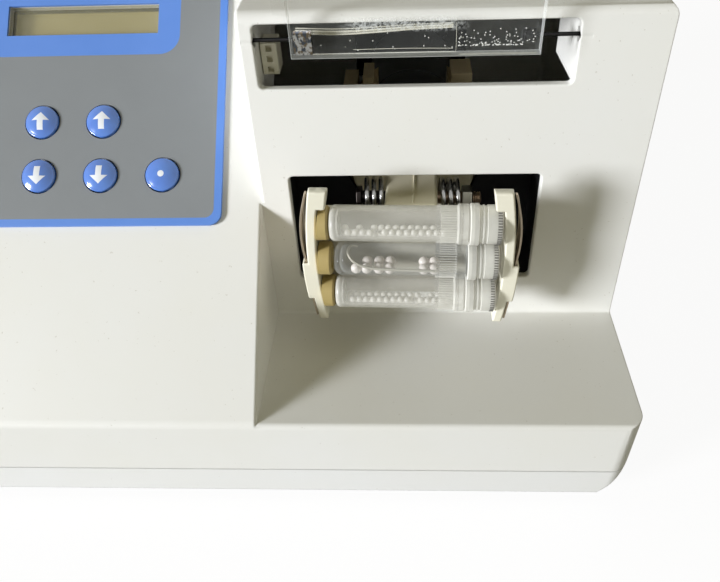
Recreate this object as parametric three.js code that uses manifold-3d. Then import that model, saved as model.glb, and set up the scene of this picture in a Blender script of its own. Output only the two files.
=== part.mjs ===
// Microtube homogenizer for three screw-cap tubes: casing, keypad, drive, shaken tube holder and clear lid.
// Millimetres and degrees. +X is the viewer's right, +Y the back, +Z up. The origin is on the ground, under
// the middle of the whole object with its lid standing open.
import * as THREE from 'three';
import { mergeVertices } from 'three/addons/utils/BufferGeometryUtils.js';
import Module from 'manifold-3d';

const wasm = await Module();
wasm.setup();

// Shared clearances
const fitGap = 0.3;
const overrun = 1;

// Casing
const controlWidth = 120.3;
const bodyDepth = 196;
const casingWall = 2.5;
const footHeight = 4;
const trayHeight = 12;
const seamGap = 0.4;
const shelfRise = 22.4;
const faceRise = 101.5;
const shelfDepth = 48.7;
const faceLean = 4;
const panelSlope = 40.7;
const cornerRadius = 6;
const edgeRadius = 3;
const flankRadius = 34;
const flankDrop = 12;

// Openings of the tower
const openingInset = 4.4;
const openingMargin = 24.3;
const lowerOpeningInset = 5;
const lowerOpeningHeight = 38.5;
const lowerOpeningSill = 15.2;
const upperOpeningWidth = 86;
const upperOpeningHeight = 17.5;
const upperOpeningDrop = 3.05;
const openingRadius = 1.5;
const cheekDepth = 26;
const cheekWall = 2.4;

// Case screws, bosses and feet
const bossInset = 20;
const bossRadius = 4.5;
const bossBite = 0.5;
const bossRise = 14;
const screwRadius = 1.6;
const screwHeadRadius = 3;
const screwHeadHeight = 1.8;
const screwReach = 15;
const footRadius = 8;
const footInset = 32;
const footPlugRadius = 3;
const footPlugHeight = 4.2;

// Keypad overlay on the sloped panel
const overlayThickness = 0.8;
const overlayRightMargin = 12.3;
const overlayLeftMargin = 13;
const overlayTopMargin = 8.65;
const overlayHeight = 85.8;
const overlayRadius = 4;
const displayDrop = 12.1;
const displayHeight = 10.3;
const displayMargin = 22.5;
const displayThickness = 1.2;

// Keys
const keyRadius = 5.3;
const keyGap = 0.4;
const keyDome = 1.1;
const keyStand = 0.7;
const keyFlange = 1.6;
const keyFlangeHeight = 1.2;
const keyTravel = 0.6;
const keyLowerMargin = 16.2;
const keyRowPitch = 17.7;
const startKeyShare = 0.2;
const keyColumnShare = 0.2084;

// Display module and control board behind the panel
const boardThickness = 1.6;
const boardMargin = 6;
const boardGap = 0.7;
const moduleGap = 2.5;
const moduleHeight = 26;
const moduleThickness = 5;
const postRadius = 3;

// Back of the casing
const inletWidth = 28;
const inletHeight = 21;
const inletDepth = 22;
const inletFlange = 3;
const inletRise = 40;
const inletInset = 40;
const pinWidth = 2;
const pinHeight = 4;
const pinSpacing = 7;
const pinRise = 2.5;
const switchWidth = 13.2;
const switchHeight = 19.2;
const switchDepth = 16;
const inletSwitchGap = 12.8;
const switchFlange = 1.6;
const flangeThickness = 1.5;
const rockerWidth = 9.6;
const rockerHeight = 15;
const rockerThrow = 5;
const rockerDepth = 7;
const fuseRadius = 6;
const fuseHeadRadius = 7.5;
const fuseDepth = 30;
const switchFuseGap = 10.3;
const fuseSlotWidth = 1.5;
const fuseSlotDepth = 1;
const ventCount = 7;
const ventWidth = 3;
const ventHeight = 34;
const ventPitch = 7;

// Power supply
const supplyFuseGap = 2;
const supplyDepth = 96;
const supplyHeight = 34;
const supplyInset = 24;
const supplyRadius = 3;

// Drive, with the motor's axis along Y
const driveOverSill = 26.4;
const hubSetback = 25.3;
const linerGapAround = 3;
const linerWall = 1.6;
const linerDepth = 30;
const hubTilt = 3;
const discRadius = 20.5;
const discThickness = 12;
const discFace = 3;
const bearingRace = 3.7;
const bearingWidth = 6;
const bearingStart = 4;
const hubRadius = 8.6;
const hubRunningGap = 0.7;
const hubNeckRadius = 6;
const shaftRadius = 3;
const weightRadius = 15;
const weightThickness = 3.5;
const weightSetback = 14.5;
const bracketSetback = 23;
const bracketThickness = 12;
const bracketRadius = 24;
const bracketFootWidth = 66;
const bracketFootHeight = 4;
const bracketFootReach = 10;
const motorRadius = 17;
const motorSetback = 21;
const motorBossRadius = 7;
const motorBossLength = 2;
const fanRadius = 19;
const fanWidth = 9;
const fanGap = 1;
const fanBackGap = 26.5;
const fanHubRadius = 6;
const fanBlades = 7;
const fanBladeThickness = 1.4;

// Shaker arm, cross bolt and springs; the slanted hub holds the arm turned a little to the left
const armTurn = 1.8;
const armWidth = 16;
const armHeight = 11;
const boltRadius = 2;
const boltForward = 15.5;
const boltHeadRadius = 3.6;
const boltHeadHeight = 1.8;
const nutRadius = 4;
const nutWidth = 3.2;
const boltTip = 2.6;
const springRadius = 5.8;
const springWireRadius = 0.75;
const springPitch = 2.25;
const springCurls = 2.5;
const springStepsPerCurl = 8;
const springSides = 5;

// Tube holder and tubes
const tubeGap = 1.1;
const tubeLength = 49.5;
const tubeDrop = 7.5;
const tubeRadius = 5.3;
const tubeWall = 1.1;
const tubeStandOff = 11.9;
const tubeEndRadius = 2.2;
const tubeCollarWidth = 3;
const tubeMouthGap = 2.6;
const threadDrop = 0.4;
const tubeFloor = 2;
const capHeight = 9.2;
const capStand = 0.4;
const capFlangeStand = 0.8;
const collarStand = 0.6;
const capFlangeWidth = 2.8;
const capTop = 1.6;
const bridgeThickness = 2.8;
const bridgeUnderTube = 6;
const plateClearance = 6.1;
const plateThickness = 3;
const plateDepth = 6;
const plateRim = 2.6;
const stripRim = 1;
const plateTop = 12.5;
const plateBottom = 10;
const plateBow = 2.4;
const plateBowDrop = 0.8;
const plateSteps = 10;
const plateLip = 2.4;
const plateLipHeight = 6.2;
const stripThickness = 0.6;
const stripInset = 1;
const stripOverhang = 1.8;
const stripEndGap = 0.8;
const stripBulge = 1;
const coverThickness = 0.5;
const coverTop = 0.3;
const coverHeight = 14.2;
const plugInset = 0.2;
const bedLevel = 1.3;
const bedStart = 4;
const bedEndGap = 1.3;

// Lid, measured from its hinge axis as it stands open
const lidWidth = 64.6;
const hingeTopGap = 0.26;
const hingeBehindFace = 2;
const sheetThickness = 3;
const lidHeel = 2.2;
const lidRise = 48;
const lidFloorGap = 2.2;
const gussetStart = 9;
const gussetDepth = 18;
const gussetLow = 16;
const gussetHigh = 26;
const rodRadius = 4.4;
const rodLengthShare = 0.62;
const barBlockHalf = 3.7;
const barBlockRadius = 1.6;
const magnetWidth = 4.8;
const magnetHeight = 6;
const magnetThickness = 1.6;
const magnetInset = 1;
const hingePinRadius = 1.6;
const hingePinGrip = 4;
const sensorWidth = 4.6;
const sensorHeight = 9;
const sensorDepth = 7;
const sensorDrop = 2.6;
const sensorHoleRadius = 0.9;
const sensorHoles = 3;
const sensorSetback = 4;
const sensorHoleDepth = 2;

// Places worked out from the sizes
const radians = THREE.MathUtils.degToRad;
const lean = radians(faceLean);
const slope = radians(panelSlope);
const seamZ = footHeight + trayHeight;
const shelfZ = seamZ + shelfRise;
const roofZ = shelfZ + faceRise;
const towerWidth = openingInset + upperOpeningWidth + openingMargin;
const bodyWidth = controlWidth + towerWidth;
const halfWidth = bodyWidth / 2;
const towerLeft = halfWidth - towerWidth;
const upperOpeningTop = faceRise / Math.cos(lean) - upperOpeningDrop;
const upperOpeningSill = upperOpeningTop - upperOpeningHeight;
const hingeRise = upperOpeningTop * Math.cos(lean) - rodRadius - hingeTopGap;
const hingeInset = shelfDepth + hingeRise * Math.tan(lean) + hingeBehindFace;
const lidReach = hingeRise - lidFloorGap;
const lidOverhang = Math.max(0, lidReach - hingeInset);
const rearStandOut = fitGap + 2 * flangeThickness;
const frontY = (lidOverhang - bodyDepth - rearStandOut) / 2;
const backY = frontY + bodyDepth;
const faceY = frontY + shelfDepth;
const driveX = towerLeft + openingInset + upperOpeningWidth / 2;
const driveY = faceY + hubSetback;
const driveZ = shelfZ + lowerOpeningSill + driveOverSill;
const lowerOpeningWidth = upperOpeningWidth - 2 * lowerOpeningInset;
const capFlangeRadius = tubeRadius + capFlangeStand;
const tubePitch = 2 * capFlangeRadius + tubeGap;
const bearingMiddle = bearingStart + bearingWidth / 2;

const colours = {
  casing: 0xeae9e4,
  tray: 0xe6e8ea,
  rubber: 0x2b2b2c,
  steel: 0xb9bcc0,
  black: 0x0c0c0d,
  overlay: 0x878b8e,
  blue: 0x4f7fd6,
  display: 0xa99e70,
  board: 0x2f6a44,
  cream: 0xe9e2c4,
  beige: 0xd6c49c,
  tan: 0xc8b273,
  motor: 0x3a3c40,
  brass: 0x8f7a62,
  clear: 0xe4ecec,
  frosted: 0xe9ecea,
  bead: 0xf3efe6,
};

function material(colour, roughness = 0.5, metalness = 0, opacity = 1) {
  const transparent = opacity < 1;
  return new THREE.MeshStandardMaterial({ color: colour, roughness, metalness, opacity, transparent });
}

// Solids from three.js geometry
function solidOf(geometry) {
  const plain = geometry.clone();
  plain.deleteAttribute('normal');
  plain.deleteAttribute('uv');
  const merged = mergeVertices(plain);
  const points = merged.attributes.position;
  const [a, b, c] = [new THREE.Vector3(), new THREE.Vector3(), new THREE.Vector3()];
  const triangles = [];
  let volume = 0;
  for (let i = 0; i < merged.index.count; i += 3) {
    const [p, q, r] = [0, 1, 2].map((step) => merged.index.getX(i + step));
    if (p === q || q === r || r === p) continue;
    triangles.push([p, q, r]);
    [a, b, c].forEach((corner, i) => corner.fromBufferAttribute(points, [p, q, r][i]));
    volume += a.dot(b.cross(c));
  }
  const facingOut = volume > 0 ? triangles : triangles.map(([p, q, r]) => [p, r, q]);
  return new wasm.Manifold(new wasm.Mesh({
    numProp: 3,
    vertProperties: Float32Array.from(points.array),
    triVerts: Uint32Array.from(facingOut.flat()),
  }));
}

function geometryOf(solid) {
  const mesh = solid.getMesh();
  const geometry = new THREE.BufferGeometry();
  geometry.setAttribute('position', new THREE.BufferAttribute(Float32Array.from(mesh.vertProperties), 3));
  geometry.setIndex(new THREE.BufferAttribute(Uint32Array.from(mesh.triVerts), 1));
  return geometry;
}

function block(x, y, z) {
  const geometry = new THREE.BoxGeometry(x[1] - x[0], y[1] - y[0], z[1] - z[0]);
  geometry.translate((x[0] + x[1]) / 2, (y[0] + y[1]) / 2, (z[0] + z[1]) / 2);
  return solidOf(geometry);
}

const along = {
  x: new THREE.Matrix4().makeBasis(
    new THREE.Vector3(0, 1, 0), new THREE.Vector3(0, 0, 1), new THREE.Vector3(1, 0, 0)),
  y: new THREE.Matrix4().makeBasis(
    new THREE.Vector3(0, 0, 1), new THREE.Vector3(1, 0, 0), new THREE.Vector3(0, 1, 0)),
  z: new THREE.Matrix4(),
};

// A prism of an outline. The outline's pairs are [y, z] along x, [x, z] along y and [x, y] along z.
function prism(axis, outline, from, to) {
  const corners = outline.map(([a, b]) => (axis === 'y' ? new THREE.Vector2(b, a) : new THREE.Vector2(a, b)));
  const shape = new THREE.Shape(corners);
  const geometry = new THREE.ExtrudeGeometry(shape, { depth: to - from, bevelEnabled: false });
  geometry.translate(0, 0, from);
  geometry.applyMatrix4(along[axis]);
  return solidOf(geometry);
}

function round(radius, sides, a = 0, b = 0) {
  return Array.from({ length: sides }, (_, i) => {
    const turn = (i / sides) * 2 * Math.PI;
    return [a + radius * Math.cos(turn), b + radius * Math.sin(turn)];
  });
}

function rod(axis, radius, from, to, sides = 20, a = 0, b = 0) {
  return prism(axis, round(radius, sides, a, b), from, to);
}

// A solid of revolution about an axis, from [radius, place along the axis] pairs that close on themselves.
function turned(axis, profile, sides = 20) {
  const points = profile.map(([radius, place]) => new THREE.Vector2(radius, place));
  if (points.at(0).x > 0 || points.at(-1).x > 0) points.push(points[0].clone());
  const geometry = new THREE.LatheGeometry(points, sides);
  geometry.rotateX(Math.PI / 2);
  geometry.applyMatrix4(along[axis]);
  return solidOf(geometry);
}

// Rounds the corners of an outline given as [a, b, radius]
function filleted(corners, steps = 4) {
  const outline = [];
  corners.forEach(([a, b, radius = 0], index) => {
    const corner = new THREE.Vector2(a, b);
    if (radius === 0) {
      outline.push([a, b]);
      return;
    }
    const before = corners.at(index - 1);
    const after = corners[(index + 1) % corners.length];
    const back = new THREE.Vector2(before[0], before[1]).sub(corner).normalize();
    const ahead = new THREE.Vector2(after[0], after[1]).sub(corner).normalize();
    const half = Math.acos(back.dot(ahead)) / 2;
    const start = corner.clone().addScaledVector(back, radius / Math.tan(half));
    const end = corner.clone().addScaledVector(ahead, radius / Math.tan(half));
    const centre = back.clone().add(ahead).normalize().multiplyScalar(radius / Math.sin(half)).add(corner);
    const first = start.sub(centre).angle();
    let sweep = end.sub(centre).angle() - first;
    if (sweep > Math.PI) sweep -= 2 * Math.PI;
    if (sweep < -Math.PI) sweep += 2 * Math.PI;
    for (let step = 0; step <= steps; step += 1) {
      const turn = first + (sweep * step) / steps;
      outline.push([centre.x + radius * Math.cos(turn), centre.y + radius * Math.sin(turn)]);
    }
  });
  return outline;
}

function roundedRectangle(a, b, radius, steps = 3) {
  const corners = [[a[0], b[0]], [a[1], b[0]], [a[1], b[1]], [a[0], b[1]]];
  return filleted(corners.map((corner) => [...corner, radius]), steps);
}

function joined(solids) {
  return solids.reduce((whole, solid) => whole.add(solid));
}

function inWorld(solid, frame) {
  frame.updateMatrixWorld(true);
  return solid.transform(frame.matrixWorld.elements);
}

// Frames: one group for each place that carries pieces of its own
const homogenizer = new THREE.Group();

function frameAt(x, y, z, tilt = 0, parent = homogenizer) {
  const frame = new THREE.Group();
  frame.position.set(x, y, z);
  frame.rotation.x = tilt;
  parent.add(frame);
  return frame;
}

// On the panel, x runs right, y up the slope and z out of it; on the face, y runs up it and z out of it.
const panelFrame = frameAt(0, frontY, shelfZ, slope);
const faceFrame = frameAt(driveX, faceY, shelfZ, Math.PI / 2 - lean);
const driveFrame = frameAt(driveX, driveY, driveZ);
const lidFrame = frameAt(driveX, frontY + hingeInset, shelfZ + hingeRise);
const backFrame = frameAt(0, backY, footHeight);

// The arm and the holder on it stand turned about the middle of the hub's bearing.
const armPivot = frameAt(driveX, driveY + bearingMiddle, driveZ);
armPivot.rotation.z = -radians(armTurn);
const armFrame = frameAt(0, -bearingMiddle, 0, 0, armPivot);
const holderFrame = frameAt(0, -(hubSetback + tubeStandOff), -tubeDrop, 0, armFrame);

function addPart(name, solid, look, frame = homogenizer) {
  const geometry = solid.isBufferGeometry ? solid : geometryOf(solid);
  const mesh = new THREE.Mesh(geometry, look);
  mesh.name = name;
  frame.add(mesh);
}

// Casing outlines, each drawn in by an inset. Side views are [y, z], the front view is [x, z].
function controlOutline(inset) {
  const roof = roofZ - inset;
  const slopeShift = inset / Math.cos(slope);
  const bendY = frontY + (roof - shelfZ + slopeShift) / Math.tan(slope);
  return filleted([
    [frontY + inset, footHeight + inset],
    [frontY + inset, shelfZ + inset * Math.tan(slope) - slopeShift],
    [bendY, roof, edgeRadius],
    [backY - inset, roof, edgeRadius],
    [backY - inset, footHeight + inset],
  ]);
}

function towerOutline(inset) {
  const leanAt = (z) => faceY + (z - shelfZ) * Math.tan(lean) + inset / Math.cos(lean);
  return filleted([
    [frontY + inset, footHeight + inset],
    [frontY + inset, shelfZ - inset],
    [leanAt(shelfZ - inset), shelfZ - inset],
    [leanAt(roofZ - inset), roofZ - inset, edgeRadius],
    [backY - inset, roofZ - inset, edgeRadius],
    [backY - inset, footHeight + inset],
  ]);
}

function flankOutline(inset, steps = 5) {
  const side = halfWidth - inset;
  const low = footHeight + inset;
  const high = shelfZ - flankDrop;
  const flank = Array.from({ length: steps + 1 }, (_, step) => {
    const z = low + ((high - low) * step) / steps;
    return [side - flankRadius + Math.sqrt(flankRadius ** 2 - (high - z) ** 2), z];
  });
  const roof = roofZ - inset;
  const crown = filleted([[side, low], [side, roof, edgeRadius], [-side, roof, edgeRadius], [-side, low]]);
  return [...flank, ...crown.slice(1, -1), ...flank.map(([x, z]) => [-x, z]).reverse()];
}

function casingBody(inset) {
  const side = halfWidth - inset;
  const control = controlOutline(inset);
  const tower = towerOutline(inset);
  const reach = inset + overrun;
  const stretch = (outline) => prism('x', outline, towerLeft - reach, towerLeft + reach);
  const solids = [
    prism('x', control, -side, towerLeft - inset),
    prism('x', tower, towerLeft + inset, side),
    stretch(control).intersect(stretch(tower)),
  ];
  const plan = roundedRectangle([-side, side], [frontY + inset, backY - inset], cornerRadius - inset / 2);
  return joined(solids)
    .intersect(prism('y', flankOutline(inset), frontY, backY))
    .intersect(prism('z', plan, footHeight, roofZ));
}

// Openings and fittings that the casing and its neighbours share
const panelLine = towerLeft - overlayRightMargin;
const overlayX = [-halfWidth + overlayLeftMargin, panelLine];
const overlayWidth = overlayX[1] - overlayX[0];
const overlayTop = faceRise / Math.sin(slope) - overlayTopMargin;
const overlayBottom = overlayTop - overlayHeight;
const displayX = [overlayX[0] + displayMargin, panelLine - displayMargin];
const displayY = [overlayTop - displayDrop - displayHeight, overlayTop - displayDrop];
const keyLowerRise = overlayBottom + keyLowerMargin;
const startKeyX = panelLine - startKeyShare * overlayWidth;
const keyColumnPitch = keyColumnShare * overlayWidth;
const keys = [
  ['button_speed_up', startKeyX - 2 * keyColumnPitch, keyLowerRise + keyRowPitch],
  ['button_speed_down', startKeyX - 2 * keyColumnPitch, keyLowerRise],
  ['button_timer_up', startKeyX - keyColumnPitch, keyLowerRise + keyRowPitch],
  ['button_timer_down', startKeyX - keyColumnPitch, keyLowerRise],
  ['button_start', startKeyX, keyLowerRise],
];
const boardX = [overlayX[0] + boardMargin, overlayX[1] - boardMargin];
const boardY = [overlayBottom + boardMargin, overlayTop - boardMargin];
const boardTop = -(casingWall + fitGap + moduleThickness + boardGap);
const lowerOpeningX = [-lowerOpeningWidth / 2, lowerOpeningWidth / 2];
const lowerOpeningY = [lowerOpeningSill, lowerOpeningSill + lowerOpeningHeight];
const upperOpeningX = [-upperOpeningWidth / 2, upperOpeningWidth / 2];
const upperOpeningY = [upperOpeningSill, upperOpeningSill + upperOpeningHeight];
const inletX = -halfWidth + inletInset;
const switchX = inletX + inletWidth / 2 + inletFlange + inletSwitchGap + switchFlange + switchWidth / 2;
const fuseX = switchX + switchWidth / 2 + switchFlange + switchFuseGap + fuseHeadRadius;
const bossFrontInset = bossRadius + casingWall - bossBite;
const bossPlaces = [
  [-halfWidth + bossInset, frontY + bossFrontInset],
  [halfWidth - bossInset, frontY + bossFrontInset],
  [-halfWidth + bossInset, backY - bossFrontInset],
  [halfWidth - bossInset, backY - bossFrontInset],
];
const footPlaces = bossPlaces.map(([x, y]) => [
  Math.sign(x) * (halfWidth - footInset),
  y < (frontY + backY) / 2 ? frontY + footInset / 2 : backY - footInset / 2,
]);

function across(centre, width) {
  return [centre - width / 2, centre + width / 2];
}

function openingCut(x, y) {
  return prism('z', roundedRectangle(x, y, openingRadius), -casingWall - overrun, overrun);
}

function keyHole(x, y, gap) {
  return rod('z', keyRadius + gap, -casingWall - overrun, overlayThickness + overrun, 20, x, y);
}

function displayCut(gap) {
  const x = [displayX[0] - gap, displayX[1] + gap];
  const y = [displayY[0] - gap, displayY[1] + gap];
  return block(x, y, [-casingWall - overrun, overlayThickness + overrun]);
}

function upperHousing() {
  const shell = casingBody(0).subtract(casingBody(casingWall));
  const above = block([-bodyWidth, bodyWidth], [-bodyDepth, bodyDepth], [seamZ, roofZ + overrun]);
  const room = casingBody(casingWall / 2);
  const cheeks = [-1, 1].map((side) => {
    const edge = (side * upperOpeningWidth) / 2;
    const x = side < 0 ? [edge - cheekWall, edge] : [edge, edge + cheekWall];
    return inWorld(block(x, [upperOpeningSill, faceRise], [-cheekDepth, -casingWall / 2]), faceFrame);
  });
  const posts = boardX.flatMap((x) => boardY.map((y) => {
    const [px, py] = [x + Math.sign(boardX[0] + boardX[1] - 2 * x) * postRadius, y];
    const inward = y === boardY[0] ? postRadius : -postRadius;
    return inWorld(rod('z', postRadius, boardTop + fitGap, -casingWall / 2, 12, px, py + inward), panelFrame);
  }));
  const bosses = bossPlaces.map(([x, y]) => rod('z', bossRadius, seamZ, seamZ + bossRise, 16, x, y));
  const inner = joined([...cheeks, ...posts, ...bosses]).intersect(room);
  const screwTop = footHeight + screwReach + 2 * fitGap;
  const pinHole = across(0, upperOpeningWidth + 2 * (cheekWall + overrun));
  const cuts = [
    inWorld(openingCut(lowerOpeningX, lowerOpeningY), faceFrame),
    inWorld(openingCut(upperOpeningX, upperOpeningY), faceFrame),
    inWorld(displayCut(fitGap), panelFrame),
    ...keys.map(([, x, y]) => inWorld(keyHole(x, y, keyGap), panelFrame)),
    ...bossPlaces.map(([x, y]) => rod('z', screwRadius + fitGap, seamZ - overrun, screwTop, 12, x, y)),
    inWorld(rod('x', hingePinRadius + fitGap, pinHole[0], pinHole[1], 16), lidFrame),
    ...backCuts(),
  ];
  return shell.intersect(above).add(inner).subtract(joined(cuts));
}

function backCuts() {
  const y = [-casingWall - overrun, overrun];
  const z = inletRise;
  const cuts = [
    block(across(inletX, inletWidth), y, across(z, inletHeight)),
    block(across(switchX, switchWidth), y, across(z, switchHeight)),
    rod('y', fuseRadius + fitGap, y[0], y[1], 16, fuseX, z),
  ];
  for (let slot = 0; slot < ventCount; slot += 1) {
    const x = driveX + (slot - (ventCount - 1) / 2) * ventPitch;
    cuts.push(block(across(x, ventWidth), y, across(driveZ - footHeight, ventHeight)));
  }
  return cuts.map((cut) => inWorld(cut, backFrame));
}

function baseTray() {
  const shell = casingBody(0).subtract(casingBody(casingWall));
  const top = seamZ - seamGap;
  const below = block([-bodyWidth, bodyWidth], [-bodyDepth, bodyDepth], [0, top]);
  const bosses = bossPlaces.map(([x, y]) => rod('z', bossRadius, footHeight + casingWall / 2, top, 16, x, y));
  const cuts = bossPlaces.flatMap(([x, y]) => [
    rod('z', screwRadius + fitGap, 0, seamZ, 12, x, y),
    rod('z', screwHeadRadius + fitGap, 0, footHeight + screwHeadHeight + 2 * fitGap, 16, x, y),
  ]);
  const plugs = footPlaces.map(([x, y]) => rod('z', footPlugRadius + fitGap, 0, seamZ, 12, x, y));
  return shell.intersect(below).add(joined(bosses).intersect(casingBody(casingWall / 2)))
    .subtract(joined([...cuts, ...plugs]));
}

function caseScrew([x, y]) {
  const head = footHeight + fitGap;
  return rod('z', screwHeadRadius, head, head + screwHeadHeight, 12, x, y)
    .add(rod('z', screwRadius, head, head + screwReach, 10, x, y));
}

function rubberFoot([x, y]) {
  const top = footHeight - fitGap;
  return rod('z', footRadius, 0, top, 20, x, y)
    .add(rod('z', footPlugRadius, top - overrun, top + footPlugHeight, 12, x, y));
}

addPart('upper_housing', upperHousing(), material(colours.casing, 0.45));
addPart('base_tray', baseTray(), material(colours.tray, 0.45));
footPlaces.forEach((place, i) => {
  addPart(`foot_${i + 1}`, rubberFoot(place), material(colours.rubber, 0.9));
});
bossPlaces.forEach((place, i) => {
  addPart(`case_screw_${i + 1}`, caseScrew(place), material(colours.steel, 0.3, 1));
});

// Keypad, display and control board
function keypadOverlay() {
  const outline = roundedRectangle(overlayX, [overlayBottom, overlayTop], overlayRadius);
  const sheet = prism('z', outline, fitGap, fitGap + overlayThickness);
  return sheet.subtract(joined([displayCut(0), ...keys.map(([, x, y]) => keyHole(x, y, keyGap))]));
}

function key() {
  const shoulder = -(casingWall + fitGap);
  const brim = fitGap + overlayThickness + keyStand;
  const stem = keyRadius - keyFlange;
  return turned('z', [
    [0, boardTop + keyTravel + fitGap],
    [stem, boardTop + keyTravel + fitGap],
    [stem, shoulder - keyFlangeHeight],
    [keyRadius + keyFlange, shoulder - keyFlangeHeight],
    [keyRadius + keyFlange, shoulder],
    [keyRadius, shoulder],
    [keyRadius, brim],
    [keyRadius * Math.cos(radians(45)), brim + keyDome * Math.sin(radians(45))],
    [0, brim + keyDome],
  ]);
}

const moduleInset = 2 * postRadius + moduleGap;
const moduleX = [boardX[0] + moduleInset, boardX[1] - moduleInset];
const moduleY = across((displayY[0] + displayY[1]) / 2, moduleHeight);
const moduleTop = -(casingWall + fitGap);
addPart('membrane_overlay', keypadOverlay(), material(colours.overlay, 0.5), panelFrame);
const displayWindow = block(displayX, displayY, [-displayThickness, 0]);
const displayModule = block(moduleX, moduleY, [moduleTop - moduleThickness, moduleTop]);
const controlBoard = block(boardX, boardY, [boardTop - boardThickness, boardTop]);
addPart('lcd_window', displayWindow, material(colours.clear, 0.1, 0, 0.4), panelFrame);
addPart('lcd_module', displayModule, material(colours.display), panelFrame);
addPart('control_board', controlBoard, material(colours.board), panelFrame);
keys.forEach(([name, x, y]) => {
  addPart(name, key().translate(x, y, 0), material(colours.blue, 0.3), panelFrame);
});

// Power inlet, fuse holder, switch and power supply
const flangeY = [fitGap, fitGap + flangeThickness];

// A block centred at a place on the back, with its depth range
function backBlock(x, width, height, y, z = inletRise) {
  return block(across(x, width), y, across(z, height));
}

function powerInlet() {
  const socketBack = -inletDepth + inletFlange;
  const flange = backBlock(inletX, inletWidth + 2 * inletFlange, inletHeight + 2 * inletFlange, flangeY);
  const bodyY = [-inletDepth, flangeY[1]];
  const body = backBlock(inletX, inletWidth - 2 * fitGap, inletHeight - 2 * fitGap, bodyY);
  const socketY = [socketBack, flangeThickness + overrun];
  const socket = backBlock(inletX, inletWidth - 2 * inletFlange, inletHeight - 2 * inletFlange, socketY);
  const pins = [[-pinSpacing, -pinRise], [0, pinRise], [pinSpacing, -pinRise]].map(([x, z]) => (
    backBlock(inletX + x, pinWidth, pinHeight, [socketBack - overrun, -overrun], inletRise + z)));
  return flange.add(body).subtract(socket).add(joined(pins));
}

function fuseHolder() {
  const slotY = [rearStandOut - fuseSlotDepth, rearStandOut + overrun];
  return rod('y', fuseRadius, -fuseDepth, fitGap + overrun, 16, fuseX, inletRise)
    .add(rod('y', fuseHeadRadius, fitGap, rearStandOut, 20, fuseX, inletRise))
    .subtract(backBlock(fuseX, 2 * fuseRadius, fuseSlotWidth, slotY));
}

function switchFrame() {
  const flange = backBlock(switchX, switchWidth + 2 * switchFlange, switchHeight + 2 * switchFlange, flangeY);
  const bodyY = [-switchDepth, flangeY[1]];
  const body = backBlock(switchX, switchWidth - 2 * fitGap, switchHeight - 2 * fitGap, bodyY);
  const pocketY = [-rockerDepth - overrun, flangeThickness + overrun];
  const pocket = backBlock(switchX, rockerWidth + 2 * fitGap, rockerHeight + 2 * fitGap, pocketY);
  return flange.add(body).subtract(pocket);
}

// The rocker's face is a shallow V, with its lower half level with the frame and its upper half standing out
function switchRocker() {
  const half = rockerHeight / 2;
  const throwAngle = radians(2 * rockerThrow);
  const backHalf = half - rockerDepth * Math.sin(throwAngle);
  return prism('x', [
    [flangeY[1], -half], [flangeY[1], 0], [flangeY[1] + half * Math.tan(throwAngle), half],
    [-rockerDepth / 2, backHalf], [-rockerDepth, 0], [-rockerDepth / 2, -backHalf],
  ], switchX - rockerWidth / 2, switchX + rockerWidth / 2).translate(0, 0, inletRise);
}

addPart('power_inlet', powerInlet(), material(colours.black, 0.5), backFrame);
addPart('fuse_holder', fuseHolder(), material(colours.black, 0.5), backFrame);
addPart('switch_frame', switchFrame(), material(colours.black, 0.5), backFrame);
addPart('switch_rocker', switchRocker(), material(colours.black, 0.4), backFrame);

const floorZ = footHeight + casingWall + fitGap;
const supplyX = [-halfWidth + supplyInset, fuseX - fuseRadius - supplyFuseGap];
const supplyY = [backY - inletDepth - 2 * supplyRadius - supplyDepth, backY - inletDepth - 2 * supplyRadius];
const supply = prism('z', roundedRectangle(supplyX, supplyY, supplyRadius), floorZ, floorZ + supplyHeight);
addPart('power_supply', supply, material(colours.steel, 0.5, 1));

// Chamber liner behind the lower opening
function chamberLiner() {
  const front = -(casingWall + fitGap);
  const middle = lowerOpeningSill + lowerOpeningHeight / 2;
  const around = (gap, z) => block(
    across(0, lowerOpeningWidth + 2 * gap), across(middle, lowerOpeningHeight + 2 * gap), z);
  const outer = around(linerGapAround + linerWall, [front - linerDepth, front]);
  const inner = around(linerGapAround, [front - linerDepth + linerWall, front + overrun]);
  const hubHole = rod('y', discRadius + 2 * linerWall, -hubSetback, linerDepth, 32);
  return inWorld(outer.subtract(inner), faceFrame).subtract(inWorld(hubHole, driveFrame));
}

// Motor, its bracket, shaft, slanted hub, bearing and fan, measured back from the hub disc's face
const bearingBore = hubRadius + hubRunningGap;
const bearingRadius = bearingBore + bearingRace;
const fanSetback = bodyDepth - shelfDepth - hubSetback - casingWall - fanBackGap - fanWidth;
const motorLength = fanSetback - fanGap - motorSetback;

function motorBracket() {
  const y = [bracketSetback, bracketSetback + bracketThickness];
  const floor = floorZ - driveZ;
  const post = block([-bracketRadius, bracketRadius], y, [floor, 0]);
  const footY = [y[0] - bracketFootReach, y[1] + bracketFootReach];
  const foot = block(across(0, bracketFootWidth), footY, [floor, floor + bracketFootHeight]);
  return joined([post, rod('y', bracketRadius, y[0], y[1], 32), foot])
    .subtract(rod('y', motorRadius + fitGap, y[0] - overrun, y[1] + overrun, 32));
}

function motorCan() {
  const back = motorSetback + motorLength;
  return rod('y', motorRadius, motorSetback, back, 32)
    .add(rod('y', motorBossRadius, motorSetback - motorBossLength, back, 16))
    .subtract(rod('y', shaftRadius + fitGap, motorSetback - 2 * motorBossLength, back + overrun, 16));
}

function tilted(solid) {
  return solid.translate(0, -bearingMiddle, 0).rotate([hubTilt, 0, 0]).translate(0, bearingMiddle, 0);
}

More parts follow.
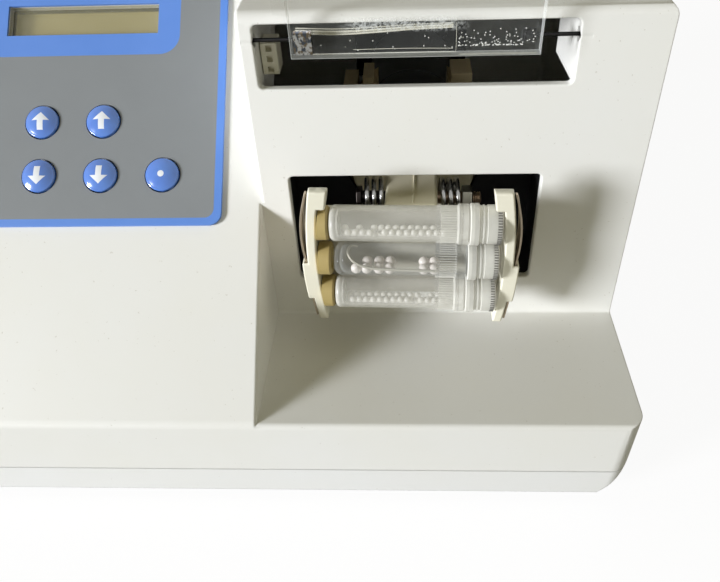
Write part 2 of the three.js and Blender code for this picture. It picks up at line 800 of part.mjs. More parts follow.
function slantedHub() {
  const sleeve = tilted(rod('y', hubRadius, bearingStart, bearingStart + bearingWidth + overrun, 24));
  const neck = rod('y', hubNeckRadius, bearingMiddle, weightSetback + weightThickness / 2, 20);
  const disc = rod('y', weightRadius, weightSetback, weightSetback + weightThickness, 32);
  const back = weightSetback + 2 * weightThickness;
  const lower = block([-weightRadius, weightRadius], [0, back], [-weightRadius, 0]);
  return joined([sleeve, neck, disc.intersect(lower)])
    .subtract(rod('y', shaftRadius + fitGap, 0, back, 16));
}

function motorFan() {
  const end = fanSetback + fanWidth;
  const blades = Array.from({ length: fanBlades }, (_, i) => {
    const blade = block(across(0, fanBladeThickness), [fanSetback, end], [fanHubRadius / 2, fanRadius]);
    return blade.rotate([0, (i * 360) / fanBlades, 0]);
  });
  return joined([rod('y', fanHubRadius, fanSetback, end, 20), ...blades])
    .subtract(rod('y', shaftRadius + fitGap, fanSetback - overrun, end + overrun, 16));
}

const bearing = rod('y', bearingRadius, bearingStart, bearingStart + bearingWidth, 28)
  .subtract(rod('y', bearingBore, bearingStart - overrun, bearingStart + bearingWidth + overrun, 28));
const shaft = rod('y', shaftRadius, bearingStart, fanSetback + fanWidth + overrun, 16);
addPart('chamber_liner', chamberLiner(), material(colours.black, 0.7));
addPart('motor_bracket', motorBracket(), material(colours.beige, 0.6), driveFrame);
addPart('motor_can', motorCan(), material(colours.motor, 0.4, 0.6), driveFrame);
addPart('motor_shaft', shaft, material(colours.steel, 0.25, 1), driveFrame);
addPart('wobble_hub', slantedHub(), material(colours.steel, 0.35, 1), driveFrame);
addPart('hub_bearing', bearing, material(colours.steel, 0.3, 1), armFrame);
addPart('motor_fan', motorFan(), material(colours.black, 0.5), driveFrame);

// Shaker arm: the hub disc's cup with the bar that reaches forward to the holder's bridge
const bridgeFront = -(hubSetback + tubeStandOff) + capFlangeRadius + fitGap;
const bridgeBack = bridgeFront + bridgeThickness;

function shakerArm() {
  const disc = rod('y', discRadius, 0, discThickness, 36)
    .subtract(rod('y', bearingRadius + fitGap, discFace, discThickness + overrun, 28));
  const bar = block(across(0, armWidth), [bridgeBack + fitGap, discFace / 2], across(0, armHeight));
  return disc.add(bar).subtract(rod('x', boltRadius + fitGap, -armWidth, armWidth, 12, -boltForward, 0));
}

// A spring round the cross bolt: one wire with its ends run straight off the last curl
function springPath() {
  const perCurl = springStepsPerCurl;
  const steps = Math.round(springCurls * perCurl);
  const at = (turn) => new THREE.Vector3(
    (turn / (2 * Math.PI)) * springPitch, springRadius * Math.cos(turn), springRadius * Math.sin(turn));
  const points = Array.from({ length: steps + 1 }, (_, i) => at((i / perCurl) * 2 * Math.PI));
  const leg = 2 * springWireRadius;
  const lead = points[0].clone().sub(points[1]).setX(0).setY(0).setLength(leg).add(points[0]);
  const lastTurn = (steps / perCurl) * 2 * Math.PI;
  const tail = new THREE.Vector3(0, -Math.sin(lastTurn), Math.cos(lastTurn));
  return [lead, ...points, tail.multiplyScalar(leg).add(points.at(-1))];
}

function springGeometry(path) {
  const positions = [];
  const faces = [];
  path.forEach((point, i) => {
    const ahead = path[Math.min(i + 1, path.length - 1)].clone().sub(path[Math.max(i - 1, 0)]).normalize();
    const out = new THREE.Vector3(0, point.y, point.z);
    out.addScaledVector(ahead, -out.dot(ahead)).normalize();
    const side = ahead.clone().cross(out);
    for (let corner = 0; corner < springSides; corner += 1) {
      const turn = (corner / springSides) * 2 * Math.PI;
      const place = point.clone()
        .addScaledVector(out, springWireRadius * Math.cos(turn))
        .addScaledVector(side, springWireRadius * Math.sin(turn));
      positions.push(...place.toArray());
      if (i === path.length - 1) continue;
      const next = (corner + 1) % springSides;
      const [a, b] = [i * springSides + corner, i * springSides + next];
      faces.push([a, b, b + springSides], [a, b + springSides, a + springSides]);
    }
  });
  const last = (path.length - 1) * springSides;
  for (let corner = 1; corner < springSides - 1; corner += 1) {
    faces.push([0, corner + 1, corner], [last, last + corner, last + corner + 1]);
  }
  const geometry = new THREE.BufferGeometry();
  geometry.setAttribute('position', new THREE.Float32BufferAttribute(positions, 3));
  geometry.setIndex(faces.flat());
  return geometry;
}

function leastGap(path) {
  const away = springStepsPerCurl / 2;
  let least = Infinity;
  const samples = path.slice(0, -1).flatMap((point, i) => [0, 0.25, 0.5, 0.75].map((share) => [
    i + share, point.clone().lerp(path[i + 1], share)]));
  samples.forEach(([i, p]) => samples.forEach(([j, q]) => {
    if (j - i > away) least = Math.min(least, p.distanceTo(q) - 2 * springWireRadius);
  }));
  return least;
}

const coil = springPath();
const coilLength = springCurls * springPitch;
const coilStart = armWidth / 2 + springWireRadius + fitGap;
const coilEnd = coilStart + coilLength + springWireRadius + fitGap;
console.log(`spring: least gap between its curls ${leastGap(coil).toFixed(2)} mm`);

function spring(side) {
  const turn = side > 0 ? 0 : Math.PI;
  const geometry = springGeometry(coil);
  geometry.translate(coilStart, 0, 0);
  geometry.rotateZ(turn);
  geometry.translate(0, -boltForward, 0);
  return geometryOf(solidOf(geometry));
}

function crossBolt() {
  const tip = coilEnd + nutWidth + fitGap + boltTip;
  return rod('x', boltRadius, -coilEnd - overrun, tip, 12, -boltForward, 0)
    .add(rod('x', boltHeadRadius, -coilEnd - boltHeadHeight, -coilEnd, 16, -boltForward, 0));
}

function boltNut() {
  return rod('x', nutRadius, coilEnd, coilEnd + nutWidth, 6, -boltForward, 0)
    .subtract(rod('x', boltRadius + fitGap, 0, 2 * coilEnd, 12, -boltForward, 0));
}

addPart('shaker_arm', shakerArm(), material(colours.cream, 0.5), armFrame);
addPart('cross_bolt', crossBolt(), material(colours.brass, 0.4, 1), armFrame);
addPart('cross_bolt_nut', boltNut(), material(colours.steel, 0.3, 1), armFrame);
addPart('spring_left', spring(-1), material(colours.steel, 0.2, 1), armFrame);
addPart('spring_right', spring(1), material(colours.steel, 0.2, 1), armFrame);

// Tube holder: a bridge with an ear behind each bowed plate, the plates with their steel strips, and the end
// plugs, about the middle tube's centre
const plateSpan = tubeLength + 2 * plateThickness + plateClearance;
const plugRadius = tubeRadius - plugInset;
const plateHigh = tubePitch + plateTop;
const plateLow = -(tubePitch + plateBottom);
const bowCentre = -plateBowDrop;
const rows = [1, 0, -1].map((row) => row * tubePitch);
const plateY = [-plateDepth / 2, plateDepth / 2];
const stripY = [plateY[0] + stripInset, plateY[1] + stripOverhang];

// How far the plate's outer face stands from the middle of the holder at a height
function plateReach(z) {
  return plateSpan / 2 - plateBow * ((z - bowCentre) / (plateHigh - bowCentre)) ** 2;
}

// A band along the plate's bow between two offsets from its outer face, each a length or a function of
// height
function bowed(inner, outer, low, high, y, steps = plateSteps) {
  const heights = Array.from({ length: steps + 1 }, (_, i) => low + ((high - low) * i) / steps);
  const at = (offset, z) => plateReach(z) + (typeof offset === 'function' ? offset(z) : offset);
  const outline = [
    ...heights.map((z) => [at(outer, z), z]),
    ...heights.reverse().map((z) => [at(inner, z), z]),
  ];
  return prism('y', outline, y[0], y[1]);
}

const coverHigh = -coverTop;
const coverLow = coverHigh - coverHeight;
const stripHigh = plateHigh - stripEndGap;

// What lies above a slope that falls to the back from a place at the top
function aboveSlope(start, top) {
  const back = stripY[1] + overrun;
  const outline = [
    [start, top],
    [back, top - (back - start)],
    [back, top + overrun],
    [start, top + overrun],
  ];
  return prism('x', outline, 0, plateSpan);
}

// The plate's top slopes down behind a narrow rim, and the strip hooks in behind its cover from the back
function holderPlate() {
  const slot = stripThickness + 2 * fitGap;
  const plate = bowed(-plateThickness, 0, plateLow, plateHigh, plateY);
  const lip = bowed(-plateThickness - plateLip, 0, plateHigh - plateLipHeight, plateHigh, plateY, 2);
  const cover = bowed(-plateThickness / 2, slot + coverThickness, coverLow, coverHigh, plateY, 4);
  const slotY = [stripY[0] - fitGap, plateY[1] + overrun];
  const slotCut = bowed(0, slot, coverLow - overrun, coverHigh + overrun, slotY, 6);
  return joined([plate, lip, cover]).subtract(slotCut).subtract(aboveSlope(plateY[0] + plateRim, plateHigh));
}

// The strip bulges off the plate between its top end and the cover that holds it
function clipStrip() {
  const bulge = (z) => fitGap + stripBulge * Math.sin(Math.PI * Math.max(0, z / stripHigh));
  const outside = (z) => bulge(z) + stripThickness;
  const strip = bowed(bulge, outside, plateLow + stripEndGap, stripHigh, stripY, 2 * plateSteps);
  return strip.subtract(aboveSlope(stripY[0] + stripRim, stripHigh));
}

const innerFace = (z) => Math.min(plateReach(z - plugRadius), plateReach(z + plugRadius)) - plateThickness;
const tubeRight = innerFace(tubePitch) - fitGap;
const tubeLeft = tubeRight - tubeLength;

function mirrored(solid) {
  return solid.mirror([1, 0, 0]);
}

function holderBridge() {
  const y = [bridgeFront + hubSetback + tubeStandOff, bridgeBack + hubSetback + tubeStandOff];
  const z = [-(tubePitch + bridgeUnderTube), tubeDrop + armHeight / 2];
  const ear = bowed(-plateThickness, 0, z[0], z[1], [plateDepth / 2 + fitGap, y[1]]);
  const reach = (plateSpan - plateThickness) / 2;
  return joined([block([-reach, reach], y, z), ear, mirrored(ear)]);
}

// A plug between the left plate's bowed face and a tube's closed end, deeper than the plate
function tubePlug(z) {
  const y = [-tubeRadius, tubeRadius];
  const room = mirrored(bowed(-plateThickness - fitGap, plateBow + overrun, plateLow, plateHigh, y));
  return rod('x', plugRadius, -plateSpan / 2, tubeLeft - fitGap, 20, 0, z).subtract(room);
}

addPart('holder_bridge', holderBridge(), material(colours.cream, 0.5), holderFrame);
addPart('holder_plate_left', mirrored(holderPlate()), material(colours.cream, 0.45), holderFrame);
addPart('holder_plate_right', holderPlate(), material(colours.cream, 0.45), holderFrame);
addPart('clip_strip_left', mirrored(clipStrip()), material(colours.steel, 0.3, 1), holderFrame);
addPart('clip_strip_right', clipStrip(), material(colours.steel, 0.3, 1), holderFrame);
rows.forEach((z, i) => {
  addPart(`tube_plug_${i + 1}`, tubePlug(z), material(colours.tan, 0.6), holderFrame);
});

// Tubes along X, measured from their closed left end, with their caps and fillings
const capRadius = capFlangeRadius - capStand;
const tubeCollarRadius = tubeRadius + collarStand;
const tubeThreadRadius = tubeRadius - threadDrop;
const tubeCollarPlace = tubeLength - capHeight - fitGap - tubeCollarWidth;
const tubeMouth = tubeLength - capTop - tubeMouthGap;
const boreRadius = tubeRadius - tubeWall;
const neckBore = Math.min(boreRadius, tubeThreadRadius - tubeWall);

function tube() {
  const collarEnd = tubeCollarPlace + tubeCollarWidth;
  return turned('x', [
    [0, 0],
    [tubeRadius - tubeEndRadius, 0],
    [tubeRadius, tubeEndRadius],
    [tubeRadius, tubeCollarPlace],
    [tubeCollarRadius, tubeCollarPlace],
    [tubeCollarRadius, collarEnd],
    [tubeThreadRadius, collarEnd],
    [tubeThreadRadius, tubeMouth],
    [neckBore, tubeMouth],
    [neckBore, collarEnd],
    [boreRadius, tubeCollarPlace],
    [boreRadius, tubeFloor + tubeEndRadius / 2],
    [boreRadius - tubeEndRadius, tubeFloor],
    [0, tubeFloor],
  ]);
}

function tubeCap() {
  const start = tubeCollarPlace + tubeCollarWidth + fitGap;
  const bore = tubeThreadRadius + fitGap;
  const inside = tubeLength - capTop;
  return turned('x', [
    [bore, start],
    [capFlangeRadius, start],
    [capFlangeRadius, start + capFlangeWidth],
    [capRadius, start + capFlangeWidth],
    [capRadius, tubeLength],
    [0, tubeLength],
    [0, inside],
    [bore, inside],
    [bore, start],
  ]);
}

function beadBed() {
  const radius = boreRadius - fitGap;
  return rod('x', radius, bedStart, tubeCollarPlace - bedEndGap, 20)
    .intersect(block([0, tubeLength], [-tubeRadius, tubeRadius], [-tubeRadius, -bedLevel]));
}

rows.forEach((z, i) => {
  const number = i + 1;
  const place = (solid) => solid.translate(tubeLeft, 0, z);
  const wall = number === 2 ? material(colours.clear, 0.08, 0, 0.35) : material(colours.frosted, 0.5, 0, 0.6);
  addPart(`tube_${number}`, place(tube()), wall, holderFrame);
  addPart(`tube_cap_${number}`, place(tubeCap()), material(colours.frosted, 0.45, 0, 0.75), holderFrame);
  addPart(`bead_bed_${number}`, place(beadBed()), material(colours.bead, 0.6), holderFrame);
});

// Lid, standing open, about its hinge axis
const sheetBack = -(rodRadius + fitGap);
const sheetFront = sheetBack - sheetThickness;
const lidX = across(0, lidWidth);
const magnetX = [lidX[0] + magnetInset, lidX[0] + magnetInset + magnetWidth];
const magnetZ = [-lidHeel + magnetInset, -lidHeel + magnetInset + magnetHeight];

function lidHood() {
  const sheet = block(lidX, [sheetFront, sheetBack], [-lidHeel, lidRise]);
  const front = block(lidX, [-lidReach, sheetBack], [lidRise - sheetThickness, lidRise]);
  const gusset = [
    [sheetBack, gussetStart],
    [sheetFront, gussetStart],
    [sheetFront - gussetDepth, gussetLow],
    [sheetFront - gussetDepth, gussetHigh],
    [-lidReach, lidRise - sheetThickness],
    [-lidReach, lidRise],
    [sheetBack, lidRise],
  ];
  const gussets = [lidX[0], lidX[1] - sheetThickness].map((x) => prism('x', gusset, x, x + sheetThickness));
  const pocket = block(
    [magnetX[0] - fitGap, magnetX[1] + fitGap],
    [sheetFront - overrun, sheetFront + magnetThickness + fitGap],
    [magnetZ[0] - fitGap, magnetZ[1] + fitGap],
  );
  return joined([sheet, front, ...gussets]).subtract(pocket);
}

function hingeBar() {
  const split = lidX[0] + lidWidth * rodLengthShare;
  const square = roundedRectangle(across(0, 2 * barBlockHalf), across(0, 2 * barBlockHalf), barBlockRadius);
  const pinHole = (from, to) => rod('x', hingePinRadius + fitGap, from, to, 12);
  return rod('x', rodRadius, lidX[0], split, 24)
    .add(prism('x', square, split - overrun, lidX[1]))
    .subtract(pinHole(lidX[0] - overrun, lidX[0] + hingePinGrip))
    .subtract(pinHole(lidX[1] - hingePinGrip, lidX[1] + overrun));
}

function hingePin(side) {
  const outer = upperOpeningWidth / 2 + cheekWall;
  const inner = lidWidth / 2 - hingePinGrip + fitGap;
  return rod('x', hingePinRadius, inner, outer, 12).rotate([0, 0, side > 0 ? 0 : 180]);
}

function interlockSensor() {
  const left = -upperOpeningWidth / 2 + fitGap;
  const top = -sensorDrop;
  const sensorY = [sensorSetback, sensorSetback + sensorDepth];
  const body = block([left, left + sensorWidth], sensorY, [top - sensorHeight, top]);
  const pitch = sensorHeight / sensorHoles;
  const holes = Array.from({ length: sensorHoles }, (_, i) => rod(
    'y', sensorHoleRadius, sensorSetback - overrun, sensorSetback + sensorHoleDepth, 8,
    left + sensorWidth / 2, top - (i + 0.5) * pitch));
  return body.subtract(joined(holes));
}

const magnet = block(magnetX, [sheetFront, sheetFront + magnetThickness], magnetZ);
addPart('lid_hood', lidHood(), material(colours.clear, 0.05, 0, 0.35), lidFrame);
addPart('lid_hinge_bar', hingeBar(), material(colours.clear, 0.05, 0, 0.4), lidFrame);
addPart('lid_magnet', magnet, material(colours.steel, 0.2, 1), lidFrame);
addPart('hinge_pin_left', hingePin(-1), material(colours.steel, 0.3, 1), lidFrame);
addPart('hinge_pin_right', hingePin(1), material(colours.steel, 0.3, 1), lidFrame);
addPart('interlock_sensor', interlockSensor(), material(colours.cream, 0.5), lidFrame);

homogenizer.updateMatrixWorld(true);
export default homogenizer;
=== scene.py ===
"""Looks of a bench-top homogenizer: white casing, keypad, rocking tube holder and clear lid.

Lengths are in millimetres until a mesh is made, which is in metres. X runs right, Y back and Z up.
"""
import math
import random

import bmesh
import bpy
from mathutils import Matrix, Vector


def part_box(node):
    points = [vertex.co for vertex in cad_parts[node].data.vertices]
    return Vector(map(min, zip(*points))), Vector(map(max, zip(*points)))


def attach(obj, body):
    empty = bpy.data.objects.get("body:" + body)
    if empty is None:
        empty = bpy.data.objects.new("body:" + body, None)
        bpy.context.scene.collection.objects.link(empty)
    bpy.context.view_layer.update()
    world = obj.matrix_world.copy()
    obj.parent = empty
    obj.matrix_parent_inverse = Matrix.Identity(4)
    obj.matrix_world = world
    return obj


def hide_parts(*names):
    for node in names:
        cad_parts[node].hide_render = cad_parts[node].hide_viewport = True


MM = 0.001
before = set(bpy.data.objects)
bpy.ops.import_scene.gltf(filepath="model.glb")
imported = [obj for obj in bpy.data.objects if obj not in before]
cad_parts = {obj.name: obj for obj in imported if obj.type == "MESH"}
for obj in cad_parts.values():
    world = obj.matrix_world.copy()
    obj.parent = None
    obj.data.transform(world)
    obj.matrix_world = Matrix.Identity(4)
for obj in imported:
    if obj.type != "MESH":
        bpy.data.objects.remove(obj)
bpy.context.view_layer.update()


def node_box(name):
    """A node's lowest and highest corners, in millimetres."""
    low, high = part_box(name)
    return low / MM, high / MM


# Clearances and the reach of every cut past what it cuts
fit_gap = 0.3
overrun = 1.0

# Casing, with its outer places read off the frame
wall = 2.5
shelf_rise = 22.4
shelf_depth = 48.7
panel_slope = math.radians(40.7)
face_lean = math.radians(4)
corner_radius = 6
edge_radius = 3
shelf_edge_radius = 1.6
end_radius = 1.1
flank_radius = 34
flank_drop = 12
opening_inset = 4.4
housing_low, housing_high = node_box("upper_housing")
tray_low, tray_high = node_box("base_tray")
front_y, back_y = housing_low.y, housing_high.y
half_width = housing_high.x
roof_z = housing_high.z
seam_z, tray_top, foot_height = housing_low.z, tray_high.z, tray_low.z
shelf_z = seam_z + shelf_rise
face_y = front_y + shelf_depth
face_rise = roof_z - shelf_z

# Openings of the tower
upper_width = 86
upper_height = 17.5
upper_drop = 3.05
upper_top = face_rise / math.cos(face_lean) - upper_drop
upper_sill = upper_top - upper_height
lower_inset = 5
lower_height = 38.5
lower_sill = 15.2
lower_middle = lower_sill + lower_height / 2
opening_radius = 1.5
rim_radius = 0.5
cheek_depth = 26
cheek_wall = 2.4

# Places of the drive, the holder and the hinge; the arm stands turned about the middle of its bearing
hub_setback = 25.3
tube_stand_off = 11.9
tube_drop = 7.5
bearing_middle = 7
arm_turn = math.radians(-1.8)
shaft_low, shaft_high = node_box("motor_shaft")
drive_x = (shaft_low.x + shaft_high.x) / 2
drive_y = face_y + hub_setback
drive_z = (shaft_low.z + shaft_high.z) / 2
tower_left = drive_x - upper_width / 2 - opening_inset
pin_low, pin_high = node_box("hinge_pin_left")
pin_radius = 1.6
hinge_place = Vector((drive_x, (pin_low.y + pin_high.y) / 2, (pin_low.z + pin_high.z) / 2))

panel_frame = Matrix.Translation((0, front_y, shelf_z)) @ Matrix.Rotation(panel_slope, 4, "X")
face_frame = Matrix.Translation((drive_x, face_y, shelf_z)) @ Matrix.Rotation(math.pi / 2 - face_lean, 4, "X")
drive_frame = Matrix.Translation((drive_x, drive_y, drive_z))
arm_frame = (drive_frame @ Matrix.Translation((0, bearing_middle, 0)) @ Matrix.Rotation(arm_turn, 4, "Z")
             @ Matrix.Translation((0, -bearing_middle, 0)))
holder_frame = arm_frame @ Matrix.Translation((0, -hub_setback - tube_stand_off, -tube_drop))
lid_frame = Matrix.Translation(hinge_place)
back_frame = Matrix.Translation((0, back_y, foot_height))


# Outlines
def filleted(corners, steps=8):
    """An outline with round corners, from (a, b) or (a, b, radius) corners."""
    points = []
    for index, (a, b, *rest) in enumerate(corners):
        corner = Vector((a, b))
        radius = rest[0] if rest else 0
        if radius == 0:
            points.append(corner)
            continue
        back = (Vector(corners[index - 1][:2]) - corner).normalized()
        ahead = (Vector(corners[(index + 1) % len(corners)][:2]) - corner).normalized()
        half = math.acos(back.dot(ahead)) / 2
        centre = corner + (back + ahead).normalized() * radius / math.sin(half)
        start = corner + back * radius / math.tan(half) - centre
        end = corner + ahead * radius / math.tan(half) - centre
        first = math.atan2(start.y, start.x)
        sweep = (math.atan2(end.y, end.x) - first + math.pi) % (2 * math.pi) - math.pi
        for step in range(steps + 1):
            turn = first + sweep * step / steps
            points.append(centre + radius * Vector((math.cos(turn), math.sin(turn))))
    return points


def rectangle(a, b, radius=0, grow=0, steps=6):
    corners = [(a[0] - grow, b[0] - grow), (a[1] + grow, b[0] - grow),
               (a[1] + grow, b[1] + grow), (a[0] - grow, b[1] + grow)]
    return filleted([(*corner, radius + grow) for corner in corners], steps)


def circle(radius, sides=32, a=0, b=0):
    turns = [2 * math.pi * i / sides for i in range(sides)]
    return [Vector((a + radius * math.cos(turn), b + radius * math.sin(turn))) for turn in turns]


def about(middle, width):
    return (middle - width / 2, middle + width / 2)


# Meshes
PLACES = {
    "x": lambda a, b, t: (t, a, b),
    "y": lambda a, b, t: (a, t, b),
    "z": lambda a, b, t: (a, b, t),
}
merge_distance = 0.0005


def added(name, data):
    """A new object in the scene."""
    thing = bpy.data.objects.new(name, data)
    bpy.context.scene.collection.objects.link(thing)
    return thing


def mesh_from(name, points, faces=()):
    mesh = bpy.data.meshes.new(name)
    mesh.from_pydata(points, [], faces)
    return mesh


def solid(name, points, faces, place=None):
    """A closed mesh in metres from points in millimetres, with its faces pointing out."""
    place = place or Matrix.Identity(4)
    mesh = mesh_from(name, [(place @ Vector(point)) * MM for point in points], faces)
    build = bmesh.new()
    build.from_mesh(mesh)
    bmesh.ops.remove_doubles(build, verts=build.verts, dist=merge_distance * MM)
    bmesh.ops.recalc_face_normals(build, faces=build.faces)
    build.to_mesh(mesh)
    build.free()
    return added(name, mesh)


def loft(name, rings, place=None, around=False, to_axis=False):
    """A skin through rings of equally many points: with flat ends, or closed around an axis."""
    count = len(rings[0])
    points = [point for ring in rings for point in ring]
    faces = []
    for row in range(len(rings) if around else len(rings) - 1):
        low, high = row * count, (row + 1) % len(rings) * count
        for i in range(count - 1 if to_axis else count):
            j = (i + 1) % count
            faces.append((low + i, low + j, high + j, high + i))
    if not around:
        faces.append(tuple(range(count)))
        faces.append(tuple(range(len(points) - count, len(points))))
    return solid(name, points, faces, place)


def prism(name, axis, outline, low, high, place=None):
    spot = PLACES[axis]
    return loft(name, [[spot(a, b, t) for a, b in outline] for t in (low, high)], place)


def box(name, x, y, z, place=None):
    return prism(name, "z", rectangle(x, y, steps=0), z[0], z[1], place)


def rod(name, axis, radius, low, high, place=None, a=0, b=0, sides=32):
    return prism(name, axis, circle(radius, sides, a, b), low, high, place)


def turned(name, axis, profile, place=None, sides=64):
    """A solid of revolution from (radius, place along the axis) pairs."""
    spot = PLACES[axis]
    to_axis = profile[0][0] == 0 and profile[-1][0] == 0
    rings = []
    for i in range(sides):
        turn = 2 * math.pi * i / sides
        rings.append([spot(radius * math.cos(turn), radius * math.sin(turn), t) for radius, t in profile])
    return loft(name, rings, place, around=True, to_axis=to_axis)


def smooth_path(points, steps):
    """Points on one smooth curve through the given ones."""
    points = [Vector(point) for point in points]
    ends = [2 * points[0] - points[1], *points, 2 * points[-1] - points[-2]]
    path = []
    for before, start, stop, after in zip(ends, ends[1:], ends[2:], ends[3:]):
        for step in range(steps):
            t = step / steps
            square = 2 * before - 5 * start + 4 * stop - after
            cube = 3 * start - before - 3 * stop + after
            path.append((2 * start + (stop - before) * t + square * t ** 2 + cube * t ** 3) / 2)
    return path + [points[-1]]


def tube_along(name, path, radius, sides=12, place=None, facing=None):
    """A round bar whose middle follows a path; facing may say where each ring's first corner points."""
    rings, side = [], Vector((0, 0, 1))
    turns = [2 * math.pi * i / sides for i in range(sides)]
    for i, point in enumerate(path):
        ahead = (path[min(i + 1, len(path) - 1)] - path[max(i - 1, 0)]).normalized()
        side = facing(point) if facing else side
        side = (side - ahead * side.dot(ahead)).normalized()
        across = ahead.cross(side)
        rings.append([point + (side * math.cos(turn) + across * math.sin(turn)) * radius for turn in turns])
    return loft(name, rings, place)


def baked(thing):
    """Applies an object's modifiers to its mesh."""
    graph = bpy.context.evaluated_depsgraph_get()
    mesh = bpy.data.meshes.new_from_object(thing.evaluated_get(graph))
    thing.modifiers.clear()
    spent = thing.data
    thing.data = mesh
    bpy.data.meshes.remove(spent)
    return thing


def combined(base, operation, tools):
    for tool in tools:
        modifier = base.modifiers.new(operation.lower(), "BOOLEAN")
        modifier.operation = operation
        modifier.solver = "MANIFOLD"
        modifier.object = tool
    baked(base)
    for tool in tools:
        bpy.data.objects.remove(tool)
    return base


def joined(base, *tools):
    return combined(base, "UNION", tools)


def cut(base, *tools):
    return combined(base, "DIFFERENCE", tools)


def kept(base, *tools):
    return combined(base, "INTERSECT", tools)


def softened(thing, width, segments=3, angle=40):
    """Rounds the edges sharper than an angle."""
    modifier = thing.modifiers.new("edges", "BEVEL")
    modifier.width = width * MM
    modifier.segments = segments
    modifier.limit_method = "ANGLE"
    modifier.angle_limit = math.radians(angle)
    modifier.use_clamp_overlap = True
    return baked(thing)


def gathered(name, things):
    """Several separate solids as one mesh."""
    build = bmesh.new()
    for thing in things:
        build.from_mesh(thing.data)
        bpy.data.objects.remove(thing)
    mesh = bpy.data.meshes.new(name)
    build.to_mesh(mesh)
    build.free()
    return added(name, mesh)


def shaded(thing, crease):
    """Smooth over curves and sharp past an angle, with flat faces kept flat up to their rounded edges."""
    thing.data.shade_smooth()
    thing.data.set_sharp_from_angle(angle=math.radians(crease))
    weights = thing.modifiers.new("weights", "WEIGHTED_NORMAL")
    weights.mode = "FACE_AREA"
    weights.weight = 100
    weights.keep_sharp = True
    return baked(thing)


def piece(thing, name, body, finish, stands_for=(), crease=35):
    """A finished piece: its name, finish, body and the nodes it stands for."""
    shaded(thing, crease)
    thing.name = name
    thing.data.name = name
    thing.data.materials.clear()
    thing.data.materials.append(finish.material)
    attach(thing, body)
    if stands_for:
        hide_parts(*stands_for)
    return thing


def dress(name, finish):
    """Gives a node of the frame its finish."""
    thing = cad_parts[name]
    if not thing.material_slots:
        thing.data.materials.append(finish.material)
    thing.material_slots[0].material = finish.material


# Nodes, and arithmetic on what they carry
class Nodes:
    """A node tree whose nodes all come from one method."""

    def __init__(self, tree):
        self.tree = tree

    def connect(self, value, socket):
        """Gives a socket a number, a colour or what another socket carries."""
        value = value.socket if isinstance(value, Wire) else value
        if isinstance(value, bpy.types.NodeSocket):
            self.tree.links.new(value, socket)
        else:
            socket.default_value = value

    def node(self, kind, settings=None, values=None):
        """A node of a kind: its settings are made first, then its sockets are filled."""
        made = self.tree.nodes.new(kind)
        for name, value in (settings or {}).items():
            setattr(made, name, value)
        for name, value in (values or {}).items():
            self.connect(value, made.inputs[name])
        return made

    def maths(self, operation, *values):
        made = self.node("ShaderNodeMath", {"operation": operation}, dict(enumerate(values)))
        return Wire(self, made.outputs[0])

    def least(self, a, b):
        return self.maths("MINIMUM", a, b)

    def most(self, a, b):
        return self.maths("MAXIMUM", a, b)


class Wire:
    """A socket of a node tree, on which sums are written as Python expressions."""

    def __init__(self, nodes, socket):
        self.nodes = nodes
        self.socket = socket

    def __add__(self, other):
        return self.nodes.maths("ADD", self, other)

    def __radd__(self, other):
        return self.nodes.maths("ADD", other, self)

    def __sub__(self, other):
        return self.nodes.maths("SUBTRACT", self, other)

    def __rsub__(self, other):
        return self.nodes.maths("SUBTRACT", other, self)

    def __mul__(self, other):
        return self.nodes.maths("MULTIPLY", self, other)

    def __rmul__(self, other):
        return self.nodes.maths("MULTIPLY", other, self)

    def __truediv__(self, other):
        return self.nodes.maths("DIVIDE", self, other)

    def __abs__(self):
        return self.nodes.maths("ABSOLUTE", self)


